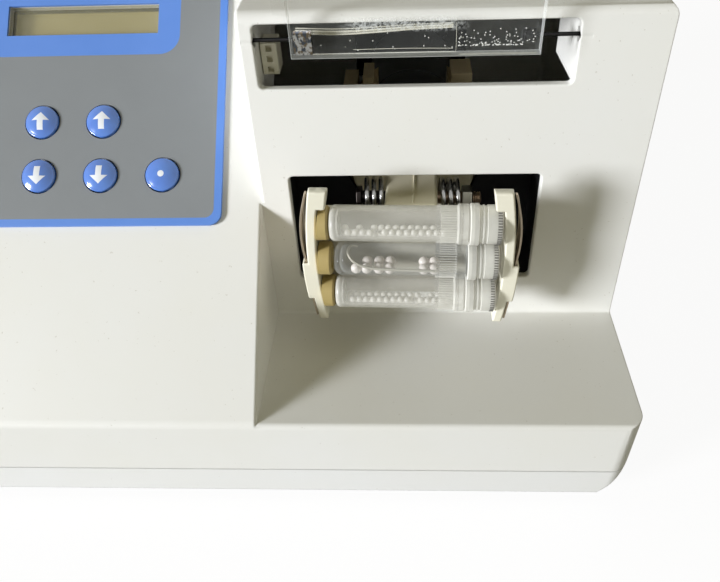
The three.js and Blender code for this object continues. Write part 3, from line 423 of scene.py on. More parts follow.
class Finish(Nodes):
    """A material of one principled shader, with short ways to add the nodes that vary it."""

    def __init__(self, name, colour, roughness, **constants):
        self.material = bpy.data.materials.new(name)
        self.material.use_nodes = True
        super().__init__(self.material.node_tree)
        self.shader = self.tree.nodes["Principled BSDF"]
        self.fill("Base Color", (*colour, 1))
        self.fill("Roughness", roughness)
        for socket, value in constants.items():
            self.fill(socket.replace("_", " "), value)
        self.place = self.node("ShaderNodeTexCoord").outputs["Object"]
        split = self.node("ShaderNodeSeparateXYZ", values={0: self.place})
        self.x, self.y, self.z = [Wire(self, out) * (1 / MM) for out in split.outputs]

    def fill(self, socket, value):
        """Gives one of the shader's own sockets a value or a wire."""
        self.connect(value, self.shader.inputs[socket])

    def within(self, value, soft=0.15):
        """1 where a distance in millimetres is below zero and 0 where it is above, with a soft edge."""
        made = self.node("ShaderNodeClamp", values={"Value": 0.5 - value / soft})
        return Wire(self, made.outputs[0])

    def noise(self, size, detail=3, roughness=0.5, stretch=(1, 1, 1)):
        """Noise whose blotches are about size millimetres across."""
        spread = self.node("ShaderNodeMapping", values={"Vector": self.place, "Scale": stretch})
        made = self.node("ShaderNodeTexNoise", values={
            "Vector": spread.outputs[0], "Scale": 1 / (size * MM), "Detail": detail, "Roughness": roughness})
        return Wire(self, made.outputs[0])

    def blend(self, share, first, second):
        """A colour between two, each a wire or a triple."""
        colours = [c if isinstance(c, Wire) else (*c, 1) for c in (first, second)]
        made = self.node("ShaderNodeMix", {"data_type": "RGBA"}, {0: share, 6: colours[0], 7: colours[1]})
        return Wire(self, made.outputs[2])

    def edge(self, blend=0.5):
        """Rises from 0 where the surface faces the eye to 1 at its rim."""
        made = self.node("ShaderNodeLayerWeight", values={"Blend": blend})
        return Wire(self, made.outputs["Facing"])

    def relief(self, height, strength=0.5, depth=0.1, rounding=0):
        """Bumps the surface by a height, over edges that may be rounded."""
        values = {"Height": height, "Strength": strength, "Distance": depth * MM}
        if rounding:
            bevel = self.node("ShaderNodeBevel", {"samples": 4}, {"Radius": rounding * MM})
            values["Normal"] = bevel.outputs[0]
        made = self.node("ShaderNodeBump", values=values)
        self.fill("Normal", made.outputs[0])

    def rounded_box(self, a, b, a_span, b_span, grow, radius):
        """How far two coordinates lie outside a rounded rectangle that is grown on all sides."""
        across, along = [abs(value - sum(span) / 2) - ((span[1] - span[0]) / 2 + grow - radius)
                         for value, span in ((a, a_span), (b, b_span))]
        square = self.maths("POWER", self.most(across, 0), 2) + self.maths("POWER", self.most(along, 0), 2)
        return self.maths("SQRT", square) + self.least(self.most(across, along), 0) - radius


def shade_of(colour, share):
    return [value * share for value in colour]


def moulded(name, colour, roughness, cloud, grain=0.4, **constants):
    """A moulded plastic: faint cloudiness of colour, uneven gloss and a fine skin."""
    cloud_size, gloss_size, gloss_drift = 9, 4, 0.14
    finish = Finish(name, colour, roughness, **constants)
    clouded = shade_of(colour, 1 - 2 * cloud)
    finish.fill("Base Color", finish.blend(finish.noise(cloud_size, 4), clouded, colour))
    finish.fill("Roughness", roughness - 0.06 + finish.noise(gloss_size) * gloss_drift)
    finish.relief(finish.noise(grain, 2), 0.12, 0.04)
    return finish


def metal(name, colour, roughness, stretch=(1, 1, 1), grain=0.3, stain=0.12):
    """A metal with fine drawn lines and a little staining."""
    stain_size, gloss_drift = 3, 0.16
    finish = Finish(name, colour, roughness, Metallic=1.0)
    lines = finish.noise(grain, 3, 0.6, stretch)
    finish.fill("Base Color", finish.blend(finish.noise(stain_size, 4), shade_of(colour, 1 - stain), colour))
    finish.fill("Roughness", roughness - gloss_drift / 2 + lines * gloss_drift)
    finish.relief(lines, 0.15, 0.02)
    return finish


# The overlay and its keys, in panel coordinates: x to the right, y up the slope
overlay_sheet = 0.8
overlay_radius = 4
overlay_right_margin = 12.3
overlay_left_margin = 13
overlay_top_margin = 8.65
overlay_height = 85.8
overlay_x = (-half_width + overlay_left_margin, tower_left - overlay_right_margin)
overlay_width = overlay_x[1] - overlay_x[0]
overlay_top = face_rise / math.sin(panel_slope) - overlay_top_margin
overlay_y = (overlay_top - overlay_height, overlay_top)
border_width = 2.4
display_margin = 22.5
display_drop = 12.1
display_height = 10.3
display_x = (overlay_x[0] + display_margin, overlay_x[1] - display_margin)
display_y = (overlay_top - display_drop - display_height, overlay_top - display_drop)
surround_margin = 7.2
surround_radius = 6.5
key_radius = 5.3
key_hole_radius = key_radius + 0.4
key_stand = 0.7
key_dome = 1.1
key_lower_y = overlay_y[0] + 16.2
key_upper_y = key_lower_y + 17.7
start_key_x = overlay_x[1] - 0.2 * overlay_width
key_column_pitch = 0.2084 * overlay_width
timer_key_x = start_key_x - key_column_pitch
speed_key_x = timer_key_x - key_column_pitch
keys = {
    "speed_up": (speed_key_x, key_upper_y),
    "speed_down": (speed_key_x, key_lower_y),
    "timer_up": (timer_key_x, key_upper_y),
    "timer_down": (timer_key_x, key_lower_y),
    "start": (start_key_x, key_lower_y),
}

# Back fittings
inlet_size = (28, 21)
inlet_x = -half_width + 40
switch_low, switch_high = node_box("switch_frame")
switch_x = (switch_low.x + switch_high.x) / 2
switch_size = (13.2, 19.2)
fuse_low, fuse_high = node_box("fuse_holder")
fuse_x = (fuse_low.x + fuse_high.x) / 2
fuse_radius = 6
back_rise = 40
vent_count, vent_pitch, vent_width, vent_height = 7, 7, 3, 34
vent_rise = drive_z - foot_height

# Bosses, screws and feet
boss_radius = 4.5
boss_rise = 14
boss_side_inset, boss_end_inset = 20, 6.5
screw_radius = 1.6
screw_head_radius = 3
screw_head_depth = 2.1
screw_reach = 15
foot_inset = 32
foot_radius = 8
foot_stem_radius = 3
foot_stem_rise = 4.2


def corner_places(side_inset, end_inset):
    """Four places in from the casing's corners, the front two first and left before right."""
    x = half_width - side_inset
    return [(side * x, y) for y in (front_y + end_inset, back_y - end_inset) for side in (-1, 1)]


boss_places = corner_places(boss_side_inset, boss_end_inset)
foot_places = corner_places(foot_inset, foot_inset / 2)


# Finishes
def casing_white(name, colour):
    """White moulding: clouded, scuffed and specked, with its edges softened."""
    warmth, speck_colour = (0.985, 0.975, 0.93), (0.42, 0.38, 0.30)
    finish = Finish(name, colour, 0.5, Coat_Weight=0.08, Coat_Roughness=0.4)
    scuff = finish.noise(2.2, 5, 0.65)
    specks = finish.within(0.735 - finish.noise(1.1, 2), 0.02)
    warm = [value * share for value, share in zip(colour, warmth)]
    base = finish.blend(finish.noise(30), warm, colour)
    finish.fill("Base Color", finish.blend(specks * 0.35, base, speck_colour))
    finish.fill("Roughness", 0.45 + scuff * 0.14)
    finish.relief(finish.noise(14, 2) * 0.7 + finish.noise(0.5, 2) * 0.05, 0.1, 0.25, rounding=0.5)
    return finish


def up_slope(finish):
    """How far up the slope a place is, in panel coordinates."""
    return (finish.y - front_y) * math.cos(panel_slope) + (finish.z - shelf_z) * math.sin(panel_slope)


def overlay_film():
    """Grey film with a blue border, and a blue field round the display."""
    grey, blue, pale_blue = (0.235, 0.25, 0.262), (0.09, 0.235, 0.68), (0.15, 0.31, 0.80)
    finish = Finish("overlay_film", grey, 0.4, Coat_Weight=0.12, Coat_Roughness=0.3)
    x, up = finish.x, up_slope(finish)
    inner = finish.rounded_box(x, up, overlay_x, overlay_y, -border_width, overlay_radius - 1)
    field = finish.rounded_box(x, up, display_x, display_y, surround_margin, surround_radius)
    printed = finish.most(1 - finish.within(inner), finish.within(field))
    ink = finish.blend(finish.noise(20, 2), blue, pale_blue)
    ground = finish.blend(finish.noise(12, 4), shade_of(grey, 0.94), shade_of(grey, 1.05))
    finish.fill("Base Color", finish.blend(printed, ground, ink))
    finish.fill("Roughness", 0.34 + finish.noise(0.4) * 0.14)
    finish.relief(finish.noise(0.35, 2), 0.2, 0.03)
    return finish


def arrow(finish, across, along):
    """How far a place lies outside an arrow that points up: a shaft under a head with two slanted sides."""
    shaft_half, shaft_middle, shaft_reach = 0.95, -1.0, 1.9
    head_slant, head_steepness, head_reach, head_foot = 0.72, 0.95, 2.1, 0.25
    shaft = finish.most(abs(across) - shaft_half, abs(along - shaft_middle) - shaft_reach)
    head = finish.most((along + abs(across) * head_steepness) * head_slant - head_reach, head_foot - along)
    return finish.least(shaft, head)


def key_film(name, x, y, sign):
    """Blue domed film with a white sign: 1 is an arrow up, -1 an arrow down, 0 a dot."""
    deep, light, white = (0.05, 0.15, 0.56), (0.10, 0.27, 0.78), (0.88, 0.91, 0.96)
    dot_radius, sign_edge = 1.0, 0.12
    finish = Finish(f"key_film_{name}", deep, 0.16, Coat_Weight=0.8, Coat_Roughness=0.05)
    across, along = finish.x - x, up_slope(finish) - y
    if sign == 0:
        outside = finish.maths("SQRT", across * across + along * along) - dot_radius
    else:
        outside = arrow(finish, across, along * sign)
    ground = finish.blend(finish.noise(5, 2), deep, light)
    finish.fill("Base Color", finish.blend(finish.within(outside, sign_edge), ground, white))
    finish.fill("Roughness", 0.12 + finish.noise(1.2) * 0.1)
    finish.relief(finish.noise(2.5, 2), 0.1, 0.05)
    return finish


def display_face():
    """The display's pale olive glass under the window, with a dark edge that is partly the module's bezel and
    partly painted shade inside the window's recess.
    """
    side_edge, end_edge, lit_radius = 0.6, 0.8, 0.4
    dark, dull, bright = (0.05, 0.045, 0.03), (0.46, 0.39, 0.16), (0.58, 0.50, 0.23)
    finish = Finish("display_face", (0.42, 0.36, 0.17), 0.25, Coat_Weight=0.5, Coat_Roughness=0.05)
    lit_x = (display_x[0] + side_edge, display_x[1] - side_edge)
    lit_y = (display_y[0] + end_edge, display_y[1] - end_edge)
    lit = finish.within(finish.rounded_box(finish.x, up_slope(finish), lit_x, lit_y, 0, lit_radius), 0.5)
    glow = finish.blend(finish.noise(14, 2), dull, bright)
    # Painted shade, partly bezel: the dark rim round the glass.
    finish.fill("Base Color", finish.blend(lit, dark, glow))
    finish.fill("Roughness", 0.2 + finish.noise(3) * 0.1)
    return finish


def clear_plastic(name, colour, clear, rim, roughness=0.04):
    """A clear sheet: see-through face on, denser towards its rim, with faint smears."""
    finish = Finish(name, colour, roughness, Coat_Weight=0.6, Coat_Roughness=0.03, IOR=1.49)
    smear = finish.noise(7, 4, 0.6)
    finish.fill("Alpha", clear + finish.edge(0.35) * (rim - clear) + smear * 0.03)
    finish.fill("Base Color", finish.blend(smear, shade_of(colour, 0.93), colour))
    finish.fill("Roughness", roughness + smear * 0.05)
    finish.relief(finish.noise(5, 2), 0.05, 0.05)
    return finish


def frosted_wall(name, density):
    """Milky moulded wall, denser at the closed end and in a band by the ribs and one by the collar."""
    end_reach, ribs_middle, ribs_half, collar_middle, collar_half = 2.2, 35.0, 3.0, 39.9, 1.6
    finish = Finish(name, (0.93, 0.92, 0.86), 0.3, Coat_Weight=0.2, Coat_Roughness=0.2)
    start = tube_frame(0).translation
    along = (finish.x - start.x) * math.cos(arm_turn) + (finish.y - start.y) * math.sin(arm_turn)
    closed_end = finish.within(along - end_reach, 1.2)
    ribs = finish.within(abs(along - ribs_middle) - ribs_half, 0.5)
    collar = finish.within(abs(along - collar_middle) - collar_half, 0.4)
    milk = density + closed_end * 0.25 + ribs * 0.14 + collar * 0.2 + finish.edge(0.3) * 0.4
    finish.fill("Alpha", finish.least(milk + (finish.noise(3) - 0.5) * 0.1, 1))
    finish.fill("Roughness", 0.24 + finish.noise(2) * 0.16)
    finish.relief(finish.noise(1.4, 2), 0.08, 0.04)
    return finish


def lid_acrylic():
    """Clear cast sheet: nearly unseen face on, bright at its cut ends, with glue smears above the bar."""
    end_band, front_band, sheet_margin = 0.15, 0.3, 0.2
    glue_rise, glue_half, glue_middle, glue_reach = 5.8, 1.0, -2.8, 14
    finish = Finish("lid_acrylic", (0.86, 0.89, 0.88), 0.05, IOR=1.49)
    x, y, z = finish.x - hinge_place.x, finish.y - hinge_place.y, finish.z - hinge_place.z
    ends = finish.within(lid_width / 2 - end_band - abs(x), 0.1)
    ends = ends * finish.within(sheet_front - sheet_margin - y, 0.2)
    heel = finish.within(z + lid_heel - end_band, 0.1)
    front = finish.within(y + lid_reach - front_band, 0.2)
    bright = finish.most(finish.most(ends, heel), front)
    glue = finish.within(abs(z - glue_rise) - glue_half, 1.0)
    glue = glue * finish.within(abs(x - glue_middle) - glue_reach, 6)
    glue = glue * finish.within(0.5 - finish.noise(1.1, 5, 0.75), 0.08)
    smear = finish.noise(7, 4, 0.6) * 0.015
    clear = 0.005 + smear + finish.edge(0.25) * 0.03
    finish.fill("Alpha", finish.least(clear + bright * 0.42 + glue * 0.45, 1))
    finish.fill("Roughness", 0.05 + smear + glue * 0.4)
    return finish


def bar_acrylic():
    """Clear bar: dark and see-through face on, with fine scratches along it."""
    finish = Finish("hinge_bar_acrylic", (0.80, 0.82, 0.81), 0.06, IOR=1.49)
    scratch = finish.within(0.70 - finish.noise(1.5, 4, 0.6, (0.12, 1, 1)), 0.04)
    finish.fill("Alpha", 0.012 + finish.edge(0.2) * 0.09 + scratch * 0.03)
    finish.fill("Roughness", 0.05 + scratch * 0.3)
    finish.relief(finish.noise(3, 3, 0.5, (0.07, 1, 1)), 0.2, 0.1)
    return finish


def caught_light(name, colour, share):
    """Light that is caught inside clear plastic, along an edge or round a bubble."""
    finish = Finish(name, colour, 0.3)
    finish.fill("Alpha", share * (0.7 + finish.noise(3, 4, 0.7) * 0.6))
    finish.fill("Roughness", 0.2 + finish.noise(2, 2) * 0.2)
    return finish


def brass_with_painted_shade():
    """Brass that is painted nearly black to the left of the drive's middle, as painted shade over the bolt's
    left end.
    """
    brass, painted_shade_colour = (0.30, 0.22, 0.15), (0.035, 0.03, 0.028)
    finish = metal("bolt_brass", brass, 0.4, grain=0.5, stain=0.25)
    # Painted shade: left of the drive's middle the brass is blended to nearly black.
    finish.fill("Base Color", finish.blend(finish.within(finish.x - drive_x, 8), brass, painted_shade_colour))
    return finish


def magnet_mirror():
    """A bright plate with blotches of brown and of dark painted on it, as painted reflections of what it
    mirrors.
    """
    bright, painted_brown_reflection, dark = (0.90, 0.91, 0.94), (0.30, 0.24, 0.17), (0.15, 0.17, 0.21)
    finish = metal("magnet_plate", (0.86, 0.86, 0.87), 0.08, stretch=(0.2, 1, 1), grain=0.5, stain=0.05)
    # Painted reflection: the brown and the dark blotches stand for what the plate mirrors.
    brown_reflected_plate = finish.blend(finish.within(0.5 - finish.noise(1.6), 0.1), bright, painted_brown_reflection)
    shadow = finish.within(0.55 - finish.noise(1.1, 2, 0.5, (1, 1, 0.6)), 0.08)
    finish.fill("Base Color", finish.blend(shadow, brown_reflected_plate, dark))
    return finish


casing_finish = casing_white("casing_white", (0.86, 0.86, 0.845))
tray_finish = casing_white("tray_white", (0.86, 0.865, 0.87))
rubber_finish = moulded("foot_rubber", (0.02, 0.02, 0.02), 0.75, 0.1, 0.6)
black_finish = moulded("black_moulding", (0.012, 0.012, 0.013), 0.5, 0.1)
liner_finish = moulded("liner_black", (0.006, 0.006, 0.0065), 0.7, 0.1, 0.5)
cream_finish = moulded("ivory_moulding", (0.87, 0.84, 0.70), 0.3, 0.03, 0.6,
                       Coat_Weight=0.3, Coat_Roughness=0.15)
arm_finish = moulded("arm_moulding", (0.90, 0.84, 0.64), 0.32, 0.04, 0.6, Coat_Weight=0.2, Coat_Roughness=0.2)
bridge_finish = moulded("bridge_moulding", (0.60, 0.57, 0.47), 0.4, 0.05, 0.8)
beige_finish = moulded("beige_bracket", (0.66, 0.54, 0.33), 0.5, 0.06, 0.8)
tan_finish = moulded("tan_plug", (0.48, 0.37, 0.145), 0.5, 0.08, 1.2)
motor_finish = moulded("motor_paint", (0.035, 0.037, 0.042), 0.3, 0.08, 0.5, Coat_Weight=0.4)
board_finish = moulded("board_green", (0.02, 0.13, 0.05), 0.35, 0.1, 2.0)
# Painted shade: the knurl ridges on the caps are dark, as the shade in the knurl's grooves.
knurl_shade_finish = moulded("knurl_shade", (0.16, 0.155, 0.14), 0.5, 0.05)
bead_finish = moulded("bead_ceramic", (0.88, 0.86, 0.80), 0.3, 0.03, 0.8, Coat_Weight=0.4, Coat_Roughness=0.1)
large_bead_finish = moulded("bead_large", (0.90, 0.84, 0.79), 0.4, 0.04, 0.8,
                            Coat_Weight=0.2, Coat_Roughness=0.2)
thread_finish = moulded("sample_thread", (0.60, 0.57, 0.48), 0.3, 0.1, 0.6)
sign_finish = moulded("rocker_mark", (0.82, 0.82, 0.80), 0.45, 0.02)
steel_finish = metal("zinc_steel", (0.66, 0.67, 0.68), 0.3)
strip_finish = metal("strip_steel", (0.64, 0.54, 0.42), 0.44, stretch=(1, 0.08, 1), grain=0.25, stain=0.35)
# Painted reflection: the spring wire is coloured dark for the dark surroundings it mirrors.
spring_finish = metal("spring_wire", (0.34, 0.34, 0.33), 0.2, grain=0.6, stain=0.08)
bolt_finish = brass_with_painted_shade()
pin_finish = metal("plug_pin", (0.72, 0.70, 0.62), 0.25, stretch=(1, 1, 0.1), grain=0.4)
# Painted reflection: the nut is coloured dark for the dark surroundings it mirrors.
nut_finish = metal("dull_nut", (0.34, 0.33, 0.27), 0.42)
magnet_finish = magnet_mirror()
supply_finish = metal("supply_can", (0.5, 0.51, 0.52), 0.42, stretch=(0.1, 1, 1), grain=0.5)
axle_finish = metal("axle_black", (0.03, 0.03, 0.03), 0.45)
tube_clear_finish = clear_plastic("clear_tube", (0.86, 0.88, 0.87), 0.03, 0.32, 0.02)
window_finish = clear_plastic("display_window", (0.5, 0.47, 0.3), 0.15, 0.4)
bar_finish = bar_acrylic()
streak_finish = caught_light("caught_streak", (0.90, 0.88, 0.76), 0.75)
bubble_finish = caught_light("caught_bubble", (0.92, 0.92, 0.88), 0.8)


# Casing
def control_outline(inset=0):
    """Side view [y, z] of the control side, drawn in by an inset."""
    bend_radius = 4
    roof = roof_z - inset
    shift = inset / math.cos(panel_slope)
    bend = front_y + (roof - shelf_z + shift) / math.tan(panel_slope)
    return filleted([
        (front_y + inset, foot_height + inset),
        (front_y + inset, shelf_z + inset * math.tan(panel_slope) - shift, bend_radius),
        (bend, roof, edge_radius),
        (back_y - inset, roof, edge_radius),
        (back_y - inset, foot_height + inset),
    ])


def tower_outline(inset=0):
    """Side view [y, z] of the tower and its shelf."""
    nook_radius = 0.8
    shelf, roof = shelf_z - inset, roof_z - inset

    def lean_at(z):
        return face_y + (z - shelf_z) * math.tan(face_lean) + inset / math.cos(face_lean)

    return filleted([
        (front_y + inset, foot_height + inset),
        (front_y + inset, shelf, shelf_edge_radius),
        (lean_at(shelf), shelf, nook_radius),
        (lean_at(roof), roof, edge_radius),
        (back_y - inset, roof, edge_radius),
        (back_y - inset, foot_height + inset),
    ])


def flank_outline(inset=0, steps=14):
    """Front view [x, z]: upright sides that draw in towards the feet."""
    side, roof = half_width - inset, roof_z - inset
    low, high = foot_height + inset, shelf_z - flank_drop
    flank = []
    for step in range(steps + 1):
        z = low + (high - low) * step / steps
        flank.append(Vector((side - flank_radius + math.sqrt(flank_radius ** 2 - (high - z) ** 2), z)))
    crown = filleted([(side, low), (side, roof, edge_radius), (-side, roof, edge_radius), (-side, low)])
    return flank + crown[1:-1] + [Vector((-x, z)) for x, z in reversed(flank)]


def rounding(radius, steps):
    """Steps round an edge: how far each is in from the side, and how far short of the end."""
    turns = [math.pi / 2 * step / steps for step in range(steps + 1)]
    return [(radius * (1 - math.cos(turn)), radius * (1 - math.sin(turn))) for turn in turns]


def end_rings(outline, far, near, radius, steps=5):
    """Rings of a side view along X, the last of them rounding its edge over."""
    toward = 1 if near > far else -1
    rings = [[(far, y, z) for y, z in outline(0)]]
    for inward, short in rounding(radius, steps):
        rings.append([(near - toward * short, y, z) for y, z in outline(inward)])
    return rings


def casing_body(inset):
    """The whole casing as one solid, drawn in by an inset."""
    side = half_width - inset + overrun
    reach = inset + 2 * end_radius
    control = loft("control", end_rings(
        lambda more: control_outline(inset + more), -side, tower_left - inset, end_radius))
    tower = loft("tower", end_rings(
        lambda more: tower_outline(inset + more), side, tower_left + inset, end_radius))
    filler = prism("filler", "x", control_outline(inset), *about(tower_left, 2 * reach))
    kept(filler, prism("common", "x", tower_outline(inset), *about(tower_left, 4 * reach)))
    whole = joined(control, tower, filler)
    plan = rectangle((-half_width + inset, half_width - inset), (front_y + inset, back_y - inset),
                     corner_radius - inset / 2, steps=10)
    return kept(
        whole,
        prism("flank", "y", flank_outline(inset), front_y - overrun, back_y + overrun),
        prism("plan", "z", plan, foot_height + inset, roof_z + overrun),
    )


def slab(low, high):
    """All the room between two heights, past the casing on every side."""
    x, y = about(0, 2 * (half_width + overrun)), (front_y - overrun, back_y + overrun)
    return box("slab", x, y, (low, high))


def corner_rods(places, radius, low, high):
    return [rod("rod", "z", radius, low, high, a=x, b=y) for x, y in places]


def rimmed_hole(name, outline, place, radius=rim_radius, steps=4):
    """A cutter through the wall whose mouth flares into a rounded rim."""
    rings = [[(x, y, -wall - 2 * overrun) for x, y in outline(0)]]
    for outward, short in rounding(radius, steps):
        rings.append([(x, y, -short) for x, y in outline(outward)])
    rings.append([(x, y, 2 * overrun) for x, y in outline(radius)])
    return loft(name, rings, place)


def window_cutters():
    """Cutters for the tower's two openings, the display and the keys."""
    fine_rim, display_radius = 0.3, 0.4
    openings = [
        (about(0, upper_width - 2 * lower_inset), about(lower_middle, lower_height)),
        (about(0, upper_width), (upper_sill, upper_sill + upper_height)),
    ]
    display_hole = [(low - fit_gap, high + fit_gap) for low, high in (display_x, display_y)]
    cutters = []
    for x, y in openings:
        cutters.append(rimmed_hole(
            "opening", lambda grow, x=x, y=y: rectangle(x, y, opening_radius, grow), face_frame))
    cutters.append(rimmed_hole(
        "display", lambda grow: rectangle(*display_hole, display_radius, grow), panel_frame, fine_rim))
    for x, y in keys.values():
        cutters.append(rimmed_hole(
            "key", lambda grow, x=x, y=y: circle(key_hole_radius + grow, 48, x, y), panel_frame, fine_rim))
    return cutters


def back_cutters():
    """Cutters for the inlet, the switch, the fuse holder and the vents."""
    y = (-wall - overrun, overrun)
    cutters = [
        box("inlet", about(inlet_x, inlet_size[0]), y, about(back_rise, inlet_size[1]), back_frame),
        box("switch", about(switch_x, switch_size[0]), y, about(back_rise, switch_size[1]), back_frame),
        rod("fuse", "y", fuse_radius + fit_gap, *y, back_frame, fuse_x, back_rise),
    ]
    for slot in range(vent_count):
        x = drive_x + (slot - (vent_count - 1) / 2) * vent_pitch
        outline = rectangle(about(x, vent_width), about(vent_rise, vent_height), vent_width / 2 - 0.05)
        cutters.append(prism("vent", "y", outline, *y, back_frame))
    return cutters


def upper_housing():
    """The upper shell with the upper opening's cheeks, its screw bosses and all its openings."""
    shell = cut(casing_body(0), casing_body(wall), slab(0, seam_z))
    cheek_y, cheek_z = (upper_sill, face_rise - edge_radius), (-cheek_depth, -wall / 2)
    pads = []
    for side in (-1, 1):
        x = sorted((side * upper_width / 2, side * (upper_width / 2 + cheek_wall)))
        pads.append(box("cheek", x, cheek_y, cheek_z, face_frame))
    pads += corner_rods(boss_places, boss_radius, seam_z, seam_z + boss_rise)
    joined(shell, kept(gathered("pads", pads), casing_body(wall / 2)))
    pin_reach = upper_width / 2 + cheek_wall + overrun
    screw_top = foot_height + screw_reach + overrun
    holes = [rod("pins", "x", pin_radius + fit_gap, -pin_reach, pin_reach, lid_frame)]
    holes += corner_rods(boss_places, screw_radius + fit_gap, seam_z - overrun, screw_top)
    return cut(shell, *window_cutters(), *back_cutters(), *holes)


def base_tray():
    """The tray under the parting line, with its bosses and the holes for screws and feet."""
    shell = cut(casing_body(0), slab(tray_top, roof_z + overrun), casing_body(wall))
    bosses = corner_rods(boss_places, boss_radius, foot_height + wall / 2, tray_top)
    joined(shell, kept(gathered("bosses", bosses), casing_body(wall / 2)))
    head_top = foot_height + screw_head_depth + fit_gap
    holes = corner_rods(boss_places, screw_radius + fit_gap, 0, seam_z)
    holes += corner_rods(boss_places, screw_head_radius + fit_gap, 0, head_top)
    holes += corner_rods(foot_places, foot_stem_radius + fit_gap, 0, seam_z)
    return cut(shell, *holes)


def vent_shade_screen():
    """A dark sheet with a turned edge on the back wall, behind the vent slots: painted shade that keeps the
    slots as dark as the inside behind them.
    """
    margin, sheet, edge_depth, gap = 3, 0.6, 2, 0.2
    x = about(drive_x, (vent_count - 1) * vent_pitch + 2 * vent_width + 4)
    z = about(vent_rise, vent_height + 2 * margin)
    front = -wall - gap
    screen = box("screen", x, (front - sheet, front), z, back_frame)
    lips = [box("lip", x, (front - edge_depth, front - sheet / 2), about(end, 0.8), back_frame) for end in z]
    return softened(joined(screen, *lips), 0.15, 2)


piece(vent_shade_screen(), "vent_shade_screen", "casing", black_finish)
piece(upper_housing(), "housing_shell", "casing", casing_finish, ["upper_housing"])
piece(base_tray(), "tray_shell", "casing", tray_finish, ["base_tray"])


# Overlay, display and keys
def overlay_piece():
    """The film on the slope, with its upper edge rounded and holes for the keys and the display."""
    rim = 0.25
    low, high = fit_gap, fit_gap + overlay_sheet
    rings = [[(x, y, z) for x, y in rectangle(overlay_x, overlay_y, overlay_radius, grow, 10)]
             for z, grow in ((low, 0), (high - rim, 0), (high - 0.3 * rim, -0.3 * rim), (high, -rim))]
    holes = [rod("hole", "z", key_hole_radius, -overrun, 2 * overrun, panel_frame, x, y, 48)
             for x, y in keys.values()]
    holes.append(box("display_hole", display_x, display_y, (-overrun, 2 * overrun), panel_frame))
    return cut(loft("overlay", rings, panel_frame), *holes)


def key_piece(x, y):
    """A key with a domed top, and a flange that holds it behind the wall."""
    brim = fit_gap + overlay_sheet + key_stand
    shoulder = -(wall + fit_gap)
    flange_radius, flange_thickness, round_edge, crown_steps = key_radius + 1.6, 1.2, 0.45, 12
    foot = shoulder - flange_thickness
    profile = [(0, foot), (flange_radius, foot), (flange_radius, shoulder), (key_radius, shoulder)]
    profile += [(key_radius - inward, brim - short) for inward, short in rounding(round_edge, 4)]
    for step in range(1, crown_steps + 1):
        share = 1 - step / crown_steps
        profile.append(((key_radius - round_edge) * share, brim + key_dome * (1 - share ** 2)))
    return turned("key", "z", profile, panel_frame @ Matrix.Translation((x, y, 0)))


def window_glass():
    return softened(box("window", display_x, display_y, (-1.2, -0.1), panel_frame), 0.15, 2)


signs = {"up": 1, "down": -1, "start": 0}
piece(overlay_piece(), "keypad_film", "casing", overlay_film(), ["membrane_overlay"])
for key_name, (key_x, key_y) in keys.items():
    film = key_film(key_name, key_x, key_y, signs[key_name.split("_")[-1]])
    piece(key_piece(key_x, key_y), f"keytop_{key_name}", f"key_{key_name}", film,
          [f"button_{key_name}"], 50)
piece(window_glass(), "display_glass", "casing", window_finish, ["lcd_window"])
dress("lcd_module", display_face())
dress("control_board", board_finish)
dress("power_supply", supply_finish)


# Feet and case screws
def foot_piece(x, y):
    """A rubber foot with rounded edges and a stem that plugs into the tray."""
    top = foot_height - fit_gap
    stem_top = top + foot_stem_rise
    profile = [(0, 0), (foot_radius - 1.4, 0), (foot_radius - 0.5, 0.35), (foot_radius, 1.2),
               (foot_radius - 0.2, top - 0.4), (foot_radius - 0.7, top), (foot_stem_radius, top),
               (foot_stem_radius, stem_top), (0, stem_top)]
    return turned("foot", "z", profile, Matrix.Translation((x, y, 0)), 48)


def screw_piece(x, y):
    """A pan-head screw with a cross slot in its head."""
    slot_length, slot_width, slot_depth = 3.2, 0.7, 1.1
    head = foot_height + fit_gap
    neck, tip = foot_height + screw_head_depth, head + screw_reach
    profile = [(0, head), (1.6, head), (2.5, head + 0.25), (screw_head_radius, head + 0.9),
               (screw_head_radius, neck), (screw_radius, neck), (screw_radius, tip), (0, tip)]
    screw = turned("screw", "z", profile, Matrix.Translation((x, y, 0)), 32)
    slots = [box("slot", about(x, length), about(y, width), (0, head + slot_depth))
             for length, width in ((slot_length, slot_width), (slot_width, slot_length))]
    return cut(screw, *slots)


for index, (x, y) in enumerate(foot_places, 1):
    piece(foot_piece(x, y), f"rubber_foot_{index}", "casing", rubber_finish, [f"foot_{index}"])
for index, (x, y) in enumerate(boss_places, 1):
    piece(screw_piece(x, y), f"pan_screw_{index}", "casing", steel_finish, [f"case_screw_{index}"])


# Back fittings, outwards along Y from the back wall
flange_y = (fit_gap, fit_gap + 1.5)
outer_y = flange_y[1]
inlet_wall = 3
pin_places = ((-7, -2.5), (0, 2.5), (7, -2.5))
rocker_width, rocker_half, rocker_depth = 9.6, 7.5, 7
rocker_tilt = math.radians(10)
rocker_rise = rocker_half * math.tan(rocker_tilt)


def back_block(x, width, height, y, rise=back_rise):
    return box("block", about(x, width), y, about(rise, height), back_frame)


def flanged_block(x, size, lip, depth, radius):
    """A block through the back wall with a rounded flange outside."""
    width, height = size
    flange = softened(back_block(x, width + 2 * lip, height + 2 * lip, flange_y), radius)
    body = back_block(x, width - 2 * fit_gap, height - 2 * fit_gap, (-depth, outer_y - 0.1))
    return joined(flange, body)


def inlet_piece():
    """The mains inlet, with a socket as deep as its pins need."""
    width, height = [size - 2 * inlet_wall for size in inlet_size]
    socket = softened(back_block(inlet_x, width, height, (-19, outer_y + overrun)), 1.2)
    return cut(flanged_block(inlet_x, inlet_size, lip=3, depth=22, radius=0.5), socket)


